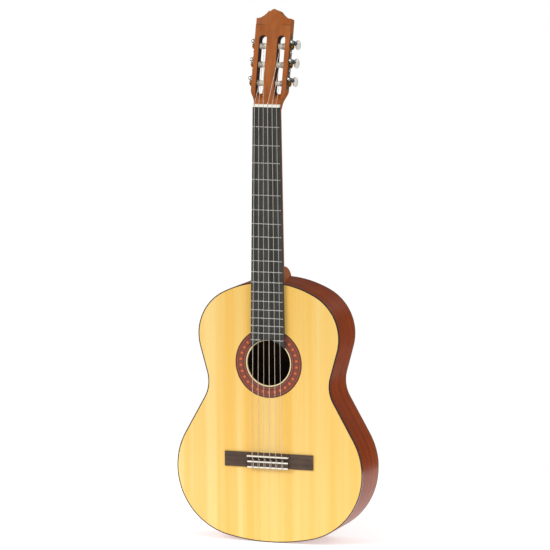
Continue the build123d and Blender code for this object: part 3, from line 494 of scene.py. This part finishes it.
INNER = bare_wood("inner_spruce", paint(214, 178, 124), paint(176, 132, 80), "z")
INNER_ACROSS = bare_wood("inner_spruce_across", paint(214, 178, 124), paint(176, 132, 80), "x")
INNER_ROUND = bare_wood("lining_cedar", paint(190, 138, 90), paint(150, 98, 58), "round")
STRIP = bare_wood("centre_strip_wood", paint(56, 38, 24), paint(36, 24, 15), "x")
NICKEL = metal("nickel", paint(168, 168, 164), paint(104, 105, 102), base=0.22)
STEEL = metal("dark_steel", paint(112, 114, 112), paint(70, 72, 70), base=0.28)
# Painted reflection: a near-white, half-metallic nickel for the worm heads and plate beads,
# standing in for the white surroundings they would mirror.
NICKEL_PAINTED_REFLECTION = metal("bright_nickel", paint(236, 236, 232), paint(206, 206, 202), metallic=0.35)
BRASS = metal("cut_brass", paint(196, 152, 78), paint(120, 88, 40), base=0.32)
FRET_METAL = metal("fret_metal", paint(226, 226, 222), paint(178, 178, 174), base=0.2)
BONE = bone("bone_white", paint(250, 248, 240), paint(236, 228, 208))
ROLLER_WHITE = bone("roller_white", paint(240, 240, 228), paint(216, 214, 198), 0.24)
PEARL = pearl()
NYLON = nylon()
WOUND = wound_string()

NODE_FINISHES = {
    "soundboard": SPRUCE, "rosette": ROSETTE, "soundhole_patch": INNER, "back": BACK_WOOD,
    "rib_bass": RIB_WOOD, "rib_treble": RIB_WOOD, "top_binding": BINDING, "back_binding": BINDING,
    "neck_block": INNER_ACROSS, "tail_block": INNER_ACROSS, "top_lining": INNER_ROUND,
    "back_lining": INNER_ROUND, "transverse_bars": INNER_ACROSS, "fan_struts": INNER,
    "back_bars": INNER_ACROSS, "back_centre_strip": STRIP, "neck": NECK_WOOD,
    "headstock": HEAD_WOOD, "fingerboard": BOARD_WOOD, "frets": FRET_METAL, "nut": BONE,
    "bridge": BRIDGE_WOOD, "tie_block_strips": BONE, "saddle": BONE,
    "tuner_plate_bass": NICKEL, "tuner_plate_treble": NICKEL, "plate_screws": NICKEL,
    **{f"string_{n}": NYLON for n in TREBLES}, **{f"string_{n}": WOUND for n in BASSES},
    **{f"gear_wheel_{n}": BRASS for n in STRINGS}, **{f"roller_{n}": ROLLER_WHITE for n in STRINGS},
    **{f"worm_shaft_{n}": NICKEL for n in STRINGS}, **{f"button_{n}": PEARL for n in STRINGS},
}
for node, finish in NODE_FINISHES.items():
    NODES[node].data.materials.clear()
    NODES[node].data.materials.append(finish)


# =====================================================================================
# Making meshes
# =====================================================================================

def linked(name, data):
    """An object for this data, in the scene."""
    made = bpy.data.objects.new(name, data)
    bpy.context.scene.collection.objects.link(made)
    return made


class Shape:
    """Points and faces gathered for one piece, each face with its finish."""

    def __init__(self):
        self.points = []
        self.faces = []
        self.finish_of = []

    def add(self, points, faces, place, finish=0):
        first = len(self.points)
        self.points += [place @ Vector(point) for point in points]
        self.faces += [[first + crease_shade for crease_shade in face] for face in faces]
        self.finish_of += [finish] * len(faces)

    def piece(self, name, body, finishes, replaces=()):
        mesh = bpy.data.meshes.new(name)
        mesh.from_pydata(self.points, [], self.faces)
        for finish in finishes:
            mesh.materials.append(finish)
        mesh.polygons.foreach_set("material_index", self.finish_of)
        mesh.polygons.foreach_set("use_smooth", [True] * len(self.faces))
        mesh.set_sharp_from_angle(angle=radians(38))
        mesh.update()
        made = linked(name, mesh)
        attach(made, body)
        if replaces:
            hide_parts(*replaces)
        return made


def rings(sections, sides):
    """Closed skin over cross-sections, each a function of angle that gives a point."""
    points = []
    faces = []
    for section in sections:
        points += [section(2 * pi * step / sides) for step in range(sides)]
    for row in range(len(sections) - 1):
        for step in range(sides):
            following = (step + 1) % sides
            low, high = row * sides, (row + 1) * sides
            faces.append((low + step, low + following, high + following, high + step))
    faces.append(tuple(reversed(range(sides))))
    faces.append(tuple(range((len(sections) - 1) * sides, len(sections) * sides)))
    return points, faces


def round_section(radius, height):
    """A circle about Z."""
    return lambda angle: (radius * cos(angle), radius * sin(angle), height)


def turned(profile, sides=32):
    """A turned shape about Z from its (radius, height) steps, going up."""
    return rings([round_section(radius, height) for radius, height in profile], sides)


def axes(origin, x_axis, z_axis):
    """Placement with local Z along one direction and local X along another."""
    z_axis = z_axis.normalized()
    x_axis = x_axis.normalized()
    turn = Matrix((x_axis, z_axis.cross(x_axis), z_axis)).transposed()
    return Matrix.Translation(origin) @ turn.to_4x4()


# =====================================================================================
# Node trees for wires and for what repeats
# =====================================================================================

def new_tree(name, inputs):
    """A Geometry Nodes tree with these inputs, its group input and its helper."""
    tree = bpy.data.node_groups.new(name, "GeometryNodeTree")
    tree.interface.new_socket("Geometry", in_out="INPUT", socket_type="NodeSocketGeometry")
    for title, kind in inputs.items():
        tree.interface.new_socket(title, in_out="INPUT", socket_type=f"NodeSocket{kind}")
    tree.interface.new_socket("Geometry", in_out="OUTPUT", socket_type="NodeSocketGeometry")
    nodes = Nodes(tree)
    return nodes, nodes.add("NodeGroupInput")


def close_tree(nodes, given, geometry):
    """Realises the instances, sets the finish and ends the tree."""
    real = nodes.add("GeometryNodeRealizeInstances", None, {"Geometry": geometry}).value()
    inputs = {"Geometry": real, "Material": given.value("Finish")}
    done = nodes.add("GeometryNodeSetMaterial", None, inputs).value()
    nodes.add("NodeGroupOutput", None, {"Geometry": done})
    return nodes.tree


def wire_tree():
    """Round wire along a curve."""
    nodes, given = new_tree("wire", {"Radius": "Float", "Sides": "Int", "Finish": "Material"})
    inputs = {"Resolution": given.value("Sides"), "Radius": given.value("Radius")}
    ring = nodes.add("GeometryNodeCurvePrimitiveCircle", {"mode": "RADIUS"}, inputs).value("Curve")
    inputs = {"Curve": given.value("Geometry"), "Profile Curve": ring, "Fill Caps": True}
    wire = nodes.add("GeometryNodeCurveToMesh", None, inputs).value()
    smooth = nodes.add("GeometryNodeSetShadeSmooth", None, {"Geometry": wire}).value()
    return close_tree(nodes, given, smooth)


def repeat_tree():
    """A pattern piece set on every point, turned to the point's own facing."""
    nodes, given = new_tree("repeat", {"Pattern": "Object", "Finish": "Material"})
    pattern = nodes.add("GeometryNodeObjectInfo", None, {"Object": given.value("Pattern")})
    inputs = {"Name": "facing"}
    facing = nodes.add("GeometryNodeInputNamedAttribute", {"data_type": "FLOAT_VECTOR"}, inputs)
    inputs = {"Vector": facing.value("Attribute")}
    turn = nodes.add("FunctionNodeAlignRotationToVector", {"axis": "Z"}, inputs).value()
    inputs = {
        "Points": given.value("Geometry"), "Instance": pattern.value("Geometry"), "Rotation": turn,
    }
    placed = nodes.add("GeometryNodeInstanceOnPoints", None, inputs).value()
    return close_tree(nodes, given, placed)


def from_tree(name, source, tree, settings):
    """The plain mesh that a tree makes from an object."""
    modifier = source.modifiers.new("made", "NODES")
    modifier.node_group = tree
    for item in tree.interface.items_tree:
        if item.in_out == "INPUT" and item.name in settings:
            modifier[item.identifier] = settings[item.name]
    bpy.context.view_layer.update()
    graph = bpy.context.evaluated_depsgraph_get()
    mesh = bpy.data.meshes.new_from_object(source.evaluated_get(graph), depsgraph=graph)
    mesh.name = name
    bpy.data.objects.remove(source)
    return mesh


WIRE = wire_tree()
REPEAT = repeat_tree()


def wires(name, paths, radius, finish, body):
    """One piece of round wire along each path of points, smooth through them."""
    curve = bpy.data.curves.new(name, "CURVE")
    curve.dimensions = "3D"
    for path in paths:
        spline = curve.splines.new("NURBS")
        spline.points.add(len(path) - 1)
        for point, place in zip(spline.points, path):
            point.co = (*place, 1)
        spline.order_u = 3
        spline.use_endpoint_u = True
        spline.resolution_u = 6
    source = linked(name + "_path", curve)
    settings = {"Radius": radius, "Sides": 8, "Finish": finish}
    made = linked(name, from_tree(name, source, WIRE, settings))
    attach(made, body)
    return made


def repeated(name, pattern, places, facings, finish, body, replaces=()):
    """One piece of copies of a pattern, set at places and turned to face outwards."""
    mesh = bpy.data.meshes.new(name + "_places")
    mesh.from_pydata(places, [], [])
    attribute = mesh.attributes.new("facing", "FLOAT_VECTOR", "POINT")
    attribute.data.foreach_set("vector", [part for facing in facings for part in facing])
    source = linked(name + "_places", mesh)
    settings = {"Pattern": pattern, "Finish": finish}
    made = linked(name, from_tree(name, source, REPEAT, settings))
    made.data.set_sharp_from_angle(angle=radians(38))
    bpy.data.objects.remove(pattern)
    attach(made, body)
    if replaces:
        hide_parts(*replaces)
    return made


def pattern_piece(name, points, faces):
    """A mesh that the repeat tree copies."""
    mesh = bpy.data.meshes.new(name)
    mesh.from_pydata(points, [], faces)
    mesh.polygons.foreach_set("use_smooth", [True] * len(faces))
    mesh.update()
    return linked(name, mesh)


# =====================================================================================
# Tuning machines
# =====================================================================================

def worm_section(height, start, end):
    """Cross-section of the worm at this height: its core, with one thread winding up it."""
    fade = min(1.0, (height - start) / WORM_LEAD * 2, (end - height) / WORM_LEAD * 2)

    def at(angle):
        phase = (height / WORM_LEAD - angle / (2 * pi) + 0.5) % 1.0
        rise = max(0.0, min(1.0, (0.30 - abs(phase - 0.5)) / 0.14))
        radius = WORM_CORE_R + (WORM_CREST_R - WORM_CORE_R) * rise * max(0.0, fade)
        return (radius * cos(angle), radius * sin(angle), height)

    return at


def make_worm(number):
    """Threaded worm with its round head in front and its shaft back to the button."""
    centre = pivot("button", number)
    start, end = -4.4 * MM, 4.4 * MM
    # The local X points at the gear, which lies down the headstock from the worm.
    place = axes(centre, HEAD_UP * -1, HEAD_BACK)
    front = -7.9 * MM
    back = 23.2 * MM
    head = turned([
        (1.2 * MM, front), (1.85 * MM, front + 0.15 * MM), (2.1 * MM, front + 0.5 * MM),
        (2.1 * MM, front + 0.9 * MM), (1.85 * MM, front + 1.2 * MM),
    ])
    sections = [round_section(*step) for step in (
        (WORM_SHAFT_R, front + 1.1 * MM), (WORM_SHAFT_R, start - 0.3 * MM),
        (WORM_CORE_R, start - 0.1 * MM),
    )]
    steps = 84
    for step in range(steps + 1):
        height = start + (end - start) * step / steps
        sections.append(worm_section(height, start, end))
    sections += [round_section(*step) for step in (
        (WORM_CORE_R, end + 0.1 * MM), (WORM_SHAFT_R, end + 0.3 * MM), (WORM_SHAFT_R, 11.6 * MM),
        (2.2 * MM, 11.8 * MM), (3.8 * MM, 12.3 * MM), (4.2 * MM, 13.2 * MM), (3.8 * MM, 15.2 * MM),
        (2.4 * MM, 16.2 * MM), (WORM_SHAFT_R, 16.4 * MM), (WORM_SHAFT_R, back),
    )]
    shape = Shape()
    shape.add(*rings(sections, 32), place)
    # The worm's round head takes the painted-reflection nickel.
    shape.add(*head, place, 1)
    shape.piece(
        f"worm_{number}", f"tuner_{number}_button", [NICKEL, NICKEL_PAINTED_REFLECTION],
        [f"worm_shaft_{number}"],
    )


def button_section(depth, wide, thick, square):
    """Rounded-oval cross-section of a button: square 2 is an ellipse, more is boxier."""
    def at(angle):
        c, s = cos(angle), sin(angle)
        across = wide * abs(c) ** (2 / square) * (1 if c > 0 else -1)
        through = thick * abs(s) ** (2 / square) * (1 if s > 0 else -1)
        return (across, through, depth)

    return at


def make_button(number):
    """Pearl button: a collar on the shaft, a narrow neck, then a flattened oval grip."""
    place = axes(pivot("button", number), HEAD_UP, HEAD_BACK)
    middle_depth = BUTTON_MID - AXLE_DEEP
    collar = middle_depth - BUTTON_LONG - 3.4 * MM
    sections = [
        button_section(collar, 2.6 * MM, 2.6 * MM, 2.0),
        button_section(collar + 0.1 * MM, 3.2 * MM, 3.2 * MM, 2.0),
        button_section(collar + 0.5 * MM, 3.5 * MM, 3.5 * MM, 2.0),
        button_section(collar + 1.9 * MM, 3.5 * MM, 3.5 * MM, 2.0),
        button_section(collar + 2.3 * MM, 3.2 * MM, 3.2 * MM, 2.0),
        button_section(collar + 2.7 * MM, 2.9 * MM, 2.7 * MM, 2.0),
        button_section(collar + 3.4 * MM, 3.3 * MM, 2.6 * MM, 2.0),
    ]
    steps = 26
    for step in range(2, steps):
        lean = pi * step / steps
        depth = middle_depth - BUTTON_LONG * cos(lean)
        wide = max(BUTTON_WIDE * sin(lean) ** 0.92, 0.0004)
        thick = max(BUTTON_THICK * sin(lean) ** 0.62, 0.0004)
        sections.append(button_section(depth, wide, thick, 2.5))
    shape = Shape()
    shape.add(*rings(sections, 48), place)
    shape.piece(
        f"pearl_button_{number}", f"tuner_{number}_button", [PEARL], [f"button_{number}"],
    )


def make_roller(number):
    """White barrel with flanges on a steel axle, wound with the string's turns."""
    joint = pivot("roller", number)
    side = 1 if joint.x > 0 else -1
    low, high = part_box(f"roller_{number}")
    gear_low, gear_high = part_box(f"gear_wheel_{number}")
    outward = X_AXIS * side
    place = axes(Vector((0, joint.y, joint.z)), HEAD_BACK * -1, outward)
    inner = abs(joint.x) - 7.1 * MM
    outer = abs(joint.x) + 7.1 * MM
    gear_in = min(abs(gear_low.x), abs(gear_high.x))
    gear_out = max(abs(gear_low.x), abs(gear_high.x)) - 1.5 * MM
    pin_end = min(abs(low.x), abs(high.x))
    barrel = Shape()
    barrel.add(*turned([
        (PIN_R + 0.1 * MM, inner), (ROLLER_R + 0.35 * MM, inner + 0.05 * MM),
        (ROLLER_R + 0.5 * MM, inner + 0.3 * MM), (ROLLER_R + 0.5 * MM, inner + 0.8 * MM),
        (ROLLER_R + 0.2 * MM, inner + 1.1 * MM), (ROLLER_R, inner + 1.3 * MM),
        (ROLLER_R, outer - 1.3 * MM), (ROLLER_R + 0.2 * MM, outer - 1.1 * MM),
        (ROLLER_R + 0.5 * MM, outer - 0.8 * MM), (ROLLER_R + 0.5 * MM, outer - 0.3 * MM),
        (ROLLER_R + 0.35 * MM, outer - 0.05 * MM), (AXLE_R, outer),
    ], 40), place)
    body = f"tuner_{number}_roller"
    barrel.piece(
        f"roller_barrel_{number}", body, [ROLLER_WHITE], [f"roller_{number}"],
    )
    axle = Shape()
    axle.add(*turned([
        (PIN_R - 0.5 * MM, pin_end), (PIN_R, pin_end + 0.5 * MM), (PIN_R, inner + 0.4 * MM),
    ], 28), place)
    axle.add(*turned([
        (AXLE_R, outer - 0.4 * MM), (AXLE_R, gear_in), (1.9 * MM, gear_in + 0.02 * MM),
        (1.9 * MM, gear_out),
    ], 28), place)
    axle.piece(f"roller_axle_{number}", body, [STEEL])


def make_coil(number):
    """The string's turns on its roller, from beside where it arrives to its tail in the barrel."""
    joint = pivot("roller", number)
    side = 1 if joint.x > 0 else -1
    diameter = STRING_DIAMETERS[number - 1] * MM
    start = WRAP_X[number - 1] * MM + diameter * 1.2
    winding = ROLLER_R + diameter / 2 + 0.05 * MM
    room = (abs(joint.x) + 5.6 * MM) - start
    turns = min(4.6, room / (diameter * 1.06))
    steps = ceil(turns * 14)
    path = []
    for step in range(steps + 1):
        turned_by = 2 * pi * turns * step / steps
        across = start + diameter * 1.06 * turned_by / (2 * pi)
        outward = HEAD_BACK * -cos(turned_by) + HEAD_UP * sin(turned_by)
        path.append(Vector((side * across, joint.y, joint.z)) + outward * winding)
    inward = (Vector((path[-1].x, joint.y, joint.z)) - path[-1]).normalized()
    path.append(path[-1] + inward * 1.6 * MM)
    finish = NYLON if number in TREBLES else WOUND
    body = f"tuner_{number}_roller"
    wires(f"string_coil_{number}", [path], diameter / 2, finish, body)


for number in STRINGS:
    make_worm(number)
    make_button(number)
    make_roller(number)
    make_coil(number)


def post_shape():
    """An arched bearing post about Z: round at the top, straight down to the plate at -X."""
    sides = 40
    foot = 2.6 * MM
    bevel = 0.25 * MM
    edge = POST_T / 2

    def outline(angle):
        c, s = cos(angle), sin(angle)
        if c >= 0:
            return POST_R * c, POST_R * s
        reach = min(POST_R / max(abs(s), 1e-6), foot / max(-c, 1e-6))
        return reach * c, reach * s

    def bore(angle):
        return POST_BORE_R * cos(angle), POST_BORE_R * sin(angle)

    points = []
    for around, scale, level in (
        (bore, 1.0, -edge), (outline, 1 - bevel / POST_R, -edge), (outline, 1.0, bevel - edge),
        (outline, 1.0, edge - bevel), (outline, 1 - bevel / POST_R, edge), (bore, 1.0, edge),
    ):
        for step in range(sides):
            x, y = around(2 * pi * step / sides)
            points.append((x * scale, y * scale, level))
    loops = [range(first, first + sides) for first in range(0, len(points), sides)]
    faces = []
    for low, high in zip(loops, loops[1:] + loops[:1]):
        for k in range(sides):
            following = (k + 1) % sides
            faces.append((low[k], low[following], high[following], high[k]))
    return points, faces


def make_posts(side, name):
    """Arched posts that carry each worm, front and back."""
    shape = Shape()
    for number in STRINGS:
        centre = pivot("button", number)
        if centre.x * side < 0:
            continue
        for off in (-POST_OFF, POST_OFF):
            shape.add(*post_shape(), axes(centre + HEAD_BACK * off, X_AXIS * side, HEAD_BACK))
    shape.piece(name, "root", [NICKEL])


make_posts(-1, "worm_posts_bass")
make_posts(1, "worm_posts_treble")


# =====================================================================================
# Tuner plates: scrolled wire on each plate, and its screws
# =====================================================================================

def on_plate(side, up, back, out):
    """A point over a tuner plate: up the headstock, back from the axles' line, out from it."""
    return X_AXIS * side * (PLATE_OUT_X + out) + HEAD_UP * up + HEAD_BACK * (AXLE_BACK + back)


def plate_edge(side, back):
    """The wire along one edge of a plate, which swings wide and dips beside each machine.

    The dip leaves room for the worm's front head to turn.
    """
    low, high = ROLLER_UP[0] - 7.5 * MM, ROLLER_UP[2] + 16.5 * MM
    steps = 60
    path = []
    for step in range(steps + 1):
        up = low + (high - low) * step / steps
        near = sum(exp(-(((up - at - 4.0 * MM) / (7.0 * MM)) ** 4)) for at in ROLLER_UP)
        across = (2.4 + 5.4 * min(near, 1.0)) * MM
        dip = 0.6 * MM * min(2 * near, 1.0)
        path.append(on_plate(side, up, back * across, 0.18 * MM - dip))
    return path


def make_scrolls(side, name):
    """Lyre scrolls between the machines: two curls back to back, with a bead in each eye."""
    lift = 0.45 * MM
    eye = 2.6 * MM
    eye_off = 3.4 * MM
    steps = 14
    paths = []
    beads = []
    for below, above in zip(ROLLER_UP, ROLLER_UP[1:]):
        centre = (below + 19.0 * MM + above - 6.4 * MM) / 2
        for back in (-1, 1):
            path = []
            for step in range(steps + 1):
                turn = pi * 1.5 * step / steps
                radius = eye * (1 - 0.5 * step / steps)
                across = back * (eye_off - radius * cos(turn))
                path.append(on_plate(side, centre + radius * sin(turn), across, lift))
            paths.append(path)
            beads.append(on_plate(side, centre, back * eye_off, lift))
    paths += [plate_edge(side, back) for back in (-1, 1)]
    wires(name, paths, 0.465 * MM, NICKEL, "root")
    bead = pattern_piece(name + "_bead", *turned([
        (0.05 * MM, -0.6 * MM), (1.3 * MM, -0.5 * MM), (1.6 * MM, 0.2 * MM), (1.3 * MM, 0.9 * MM),
        (0.7 * MM, 1.3 * MM), (0.05 * MM, 1.4 * MM),
    ], 16))
    facings = [X_AXIS * side] * len(beads)
    # The beads take the painted-reflection nickel.
    repeated(name + "_beads", bead, beads, facings, NICKEL_PAINTED_REFLECTION, "root")


make_scrolls(-1, "plate_scrolls_bass")
make_scrolls(1, "plate_scrolls_treble")


def slotted_head():
    """A domed screw head about Z, with two raised bars whose gap is its slot."""
    radius = 2.2 * MM
    rise = 1.1 * MM
    half_slot = 0.28 * MM
    levels = [(1.0, 0.0), (1.0, 0.28), (0.9, 0.55), (0.68, 0.85), (0.4, 0.98)]
    points, faces = turned([(radius * scale, rise * level) for scale, level in levels], 24)
    half_long, half_wide = radius * 0.55, radius * 0.62
    for y_low, y_high in ((-half_wide, -half_slot), (half_slot, half_wide)):
        first = len(points)
        for z in (rise * 0.9, rise * 1.12):
            points += [(-half_long, y_low, z), (half_long, y_low, z),
                       (half_long, y_high, z), (-half_long, y_high, z)]
        for face in (
            (3, 2, 1, 0), (4, 5, 6, 7), (0, 1, 5, 4), (1, 2, 6, 5), (2, 3, 7, 6), (3, 0, 4, 7),
        ):
            faces.append(tuple(first + crease_shade for crease_shade in face))
    return points, faces


def make_screws():
    """The eight screws that hold the plates."""
    ups = [ROLLER_UP[0] - 9.5 * MM, ROLLER_UP[0] + 21.25 * MM, ROLLER_UP[1] + 21.25 * MM,
           ROLLER_UP[2] + 19.0 * MM]
    places = [on_plate(side, up, 0, 0) for side in (-1, 1) for up in ups]
    facings = [X_AXIS * side for side in (-1, 1) for _ in ups]
    head = pattern_piece("screw_head", *slotted_head())
    repeated(
        "slotted_screws", head, places, facings, NICKEL, "root", ["plate_screws"],
    )


make_screws()

# =====================================================================================
# Strings tied to the bridge
# =====================================================================================

BLOCK_LOW, BLOCK_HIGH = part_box("tie_block_strips")


def make_tie(number):
    """One string's tie: its end goes back over the block, and a knot winds in front of it."""
    diameter = STRING_DIAMETERS[number - 1] * MM
    x = STRING_STEP * (2.5 - (number - 1))
    clear = diameter / 2 + 0.12 * MM
    over = BLOCK_LOW.y - clear
    front = BLOCK_HIGH.z + 1.0 * MM
    behind = BLOCK_LOW.z - 1.3 * MM
    hole_y = FACE_Y - 5.6 * MM
    path = [
        Vector((x - 0.4 * MM, hole_y - 1.2 * MM, front - 0.4 * MM)),
        Vector((x - 1.3 * MM, hole_y - 0.6 * MM, front + 0.9 * MM)),
        Vector((x - 1.7 * MM, hole_y - 2.2 * MM, front + 1.1 * MM)),
        Vector((x - 1.5 * MM, over + 0.2 * MM, front + 0.1 * MM)),
        Vector((x - 1.4 * MM, over, front - 2.2 * MM)),
        Vector((x - 1.2 * MM, over, behind + 3.0 * MM)),
        Vector((x - 1.0 * MM, over + 0.1 * MM, behind + 0.6 * MM)),
        Vector((x - 0.9 * MM, over + 1.6 * MM, behind - 0.1 * MM)),
        Vector((x - 0.8 * MM, hole_y - 0.2 * MM, behind)),
    ]
    knot = []
    for step in range(19):
        turned_by = 2 * pi * 1.5 * step / 18
        rise = front + (1.0 + 0.11 * step) * MM
        slide = 1.1 * (1 - step / 24)
        knot.append(Vector((
            x + (0.2 + slide * sin(turned_by)) * MM,
            hole_y - (0.9 + 0.19 * step) * MM - 0.9 * MM * cos(turned_by),
            rise,
        )))
    return path, knot


for names, title, finish, slot in (
    (TREBLES, "treble_ties", NYLON, "nylon"), (BASSES, "bass_ties", WOUND, "wound_string"),
):
    loops = [path for number in names for path in make_tie(number)]
    wires(title, loops, 0.36 * MM, finish, "root")

# =====================================================================================
# Studio
# =====================================================================================

CAMERA_AZIMUTH = radians(19.94)
CAMERA_ELEVATION = radians(7.77)
CAMERA_ROLL = radians(-0.32)
CAMERA_DISTANCE = 8.0
CAMERA_LENS = 281.9
CAMERA_AIM = Vector((-0.0013, -0.0005, (CAD_BOX[0][2] + CAD_BOX[1][2]) / 2 + 0.0013))
LIGHT_AIM = Vector((0, 0, 0.5))
# Name, place, side of its square, watts, colour.
LIGHTS = (
    ("key", (-2.6, -2.6, 2.4), 1.6, 86, (1.0, 0.98, 0.95)),
    ("fill", (2.8, -1.8, 1.6), 1.8, 28, (1.0, 1.0, 1.0)),
    ("rim", (1.6, 2.4, 2.2), 1.2, 20, (1.0, 1.0, 1.0)),
)
FLOOR_HALF = 0.8
FLOOR_GLOW = 0.5
# How bright the white surroundings are as light, and in mirrored rays. They show at full white.
WORLD_LIGHT = 0.46
WORLD_MIRRORED = 0.15


def facing(place, towards):
    """Placement at a point with the local -Z towards a direction and local Y up."""
    return Matrix.Translation(place) @ towards.to_track_quat("-Z", "Y").to_matrix().to_4x4()


def make_camera():
    """Three-quarter front view, a little above the guitar's middle."""
    level = cos(CAMERA_ELEVATION)
    outward = Vector((
        sin(CAMERA_AZIMUTH) * level, -cos(CAMERA_AZIMUTH) * level, sin(CAMERA_ELEVATION),
    ))
    data = bpy.data.cameras.new("camera")
    data.lens = CAMERA_LENS
    data.sensor_width = 36.0
    made = linked("camera", data)
    place = facing(CAMERA_AIM + outward * CAMERA_DISTANCE, outward * -1)
    made.matrix_world = place @ Matrix.Rotation(CAMERA_ROLL, 4, "Z")
    bpy.context.scene.camera = made


def area_light(name, place, size, power, colour):
    """A square soft light that faces the guitar's middle."""
    data = bpy.data.lights.new(name, "AREA")
    data.shape = "SQUARE"
    data.size = size
    data.energy = power
    data.color = colour
    place = Vector(place)
    linked(name, data).matrix_world = facing(place, LIGHT_AIM - place)


def make_floor():
    """Pale plain floor under the guitar."""
    level = CAD_BOX[0][2] - 0.2 * MM
    corners = [(-1, -1), (1, -1), (1, 1), (-1, 1)]
    places = [(x * FLOOR_HALF, y * FLOOR_HALF, level) for x, y in corners]
    mesh = bpy.data.meshes.new("floor")
    mesh.from_pydata(places, [], [(0, 1, 2, 3)])
    made = Finish("floor_paint")
    cloud = made.noise(made.place, 1.5, 2.0)
    colour = made.mix(cloud, paint(246, 246, 246), paint(241, 241, 241))
    glow = {"Emission_Strength": FLOOR_GLOW, "Emission_Color": (1.0, 1.0, 1.0, 1.0)}
    mesh.materials.append(made.finish(colour, 0.9, Specular_IOR_Level=0.1, **glow))
    linked("floor", mesh)


def make_world():
    """Plain white surroundings that light the guitar more softly than they show."""
    world = bpy.data.worlds.new("studio")
    world.use_nodes = True
    nodes = Nodes(world.node_tree)
    nodes.tree.nodes.clear()
    path = nodes.add("ShaderNodeLightPath")
    seen, mirrored = path.value("Is Camera Ray"), path.value("Is Glossy Ray")
    strength = seen * (1 - WORLD_LIGHT) + WORLD_LIGHT - mirrored * (WORLD_LIGHT - WORLD_MIRRORED)
    inputs = {"Color": (1.0, 1.0, 1.0, 1.0), "Strength": strength}
    background = nodes.add("ShaderNodeBackground", None, inputs).value()
    nodes.add("ShaderNodeOutputWorld", None, {"Surface": background})
    bpy.context.scene.world = world
    bpy.context.scene.view_settings.view_transform = "Standard"


make_camera()
make_floor()
make_world()
for light in LIGHTS:
    area_light(*light)
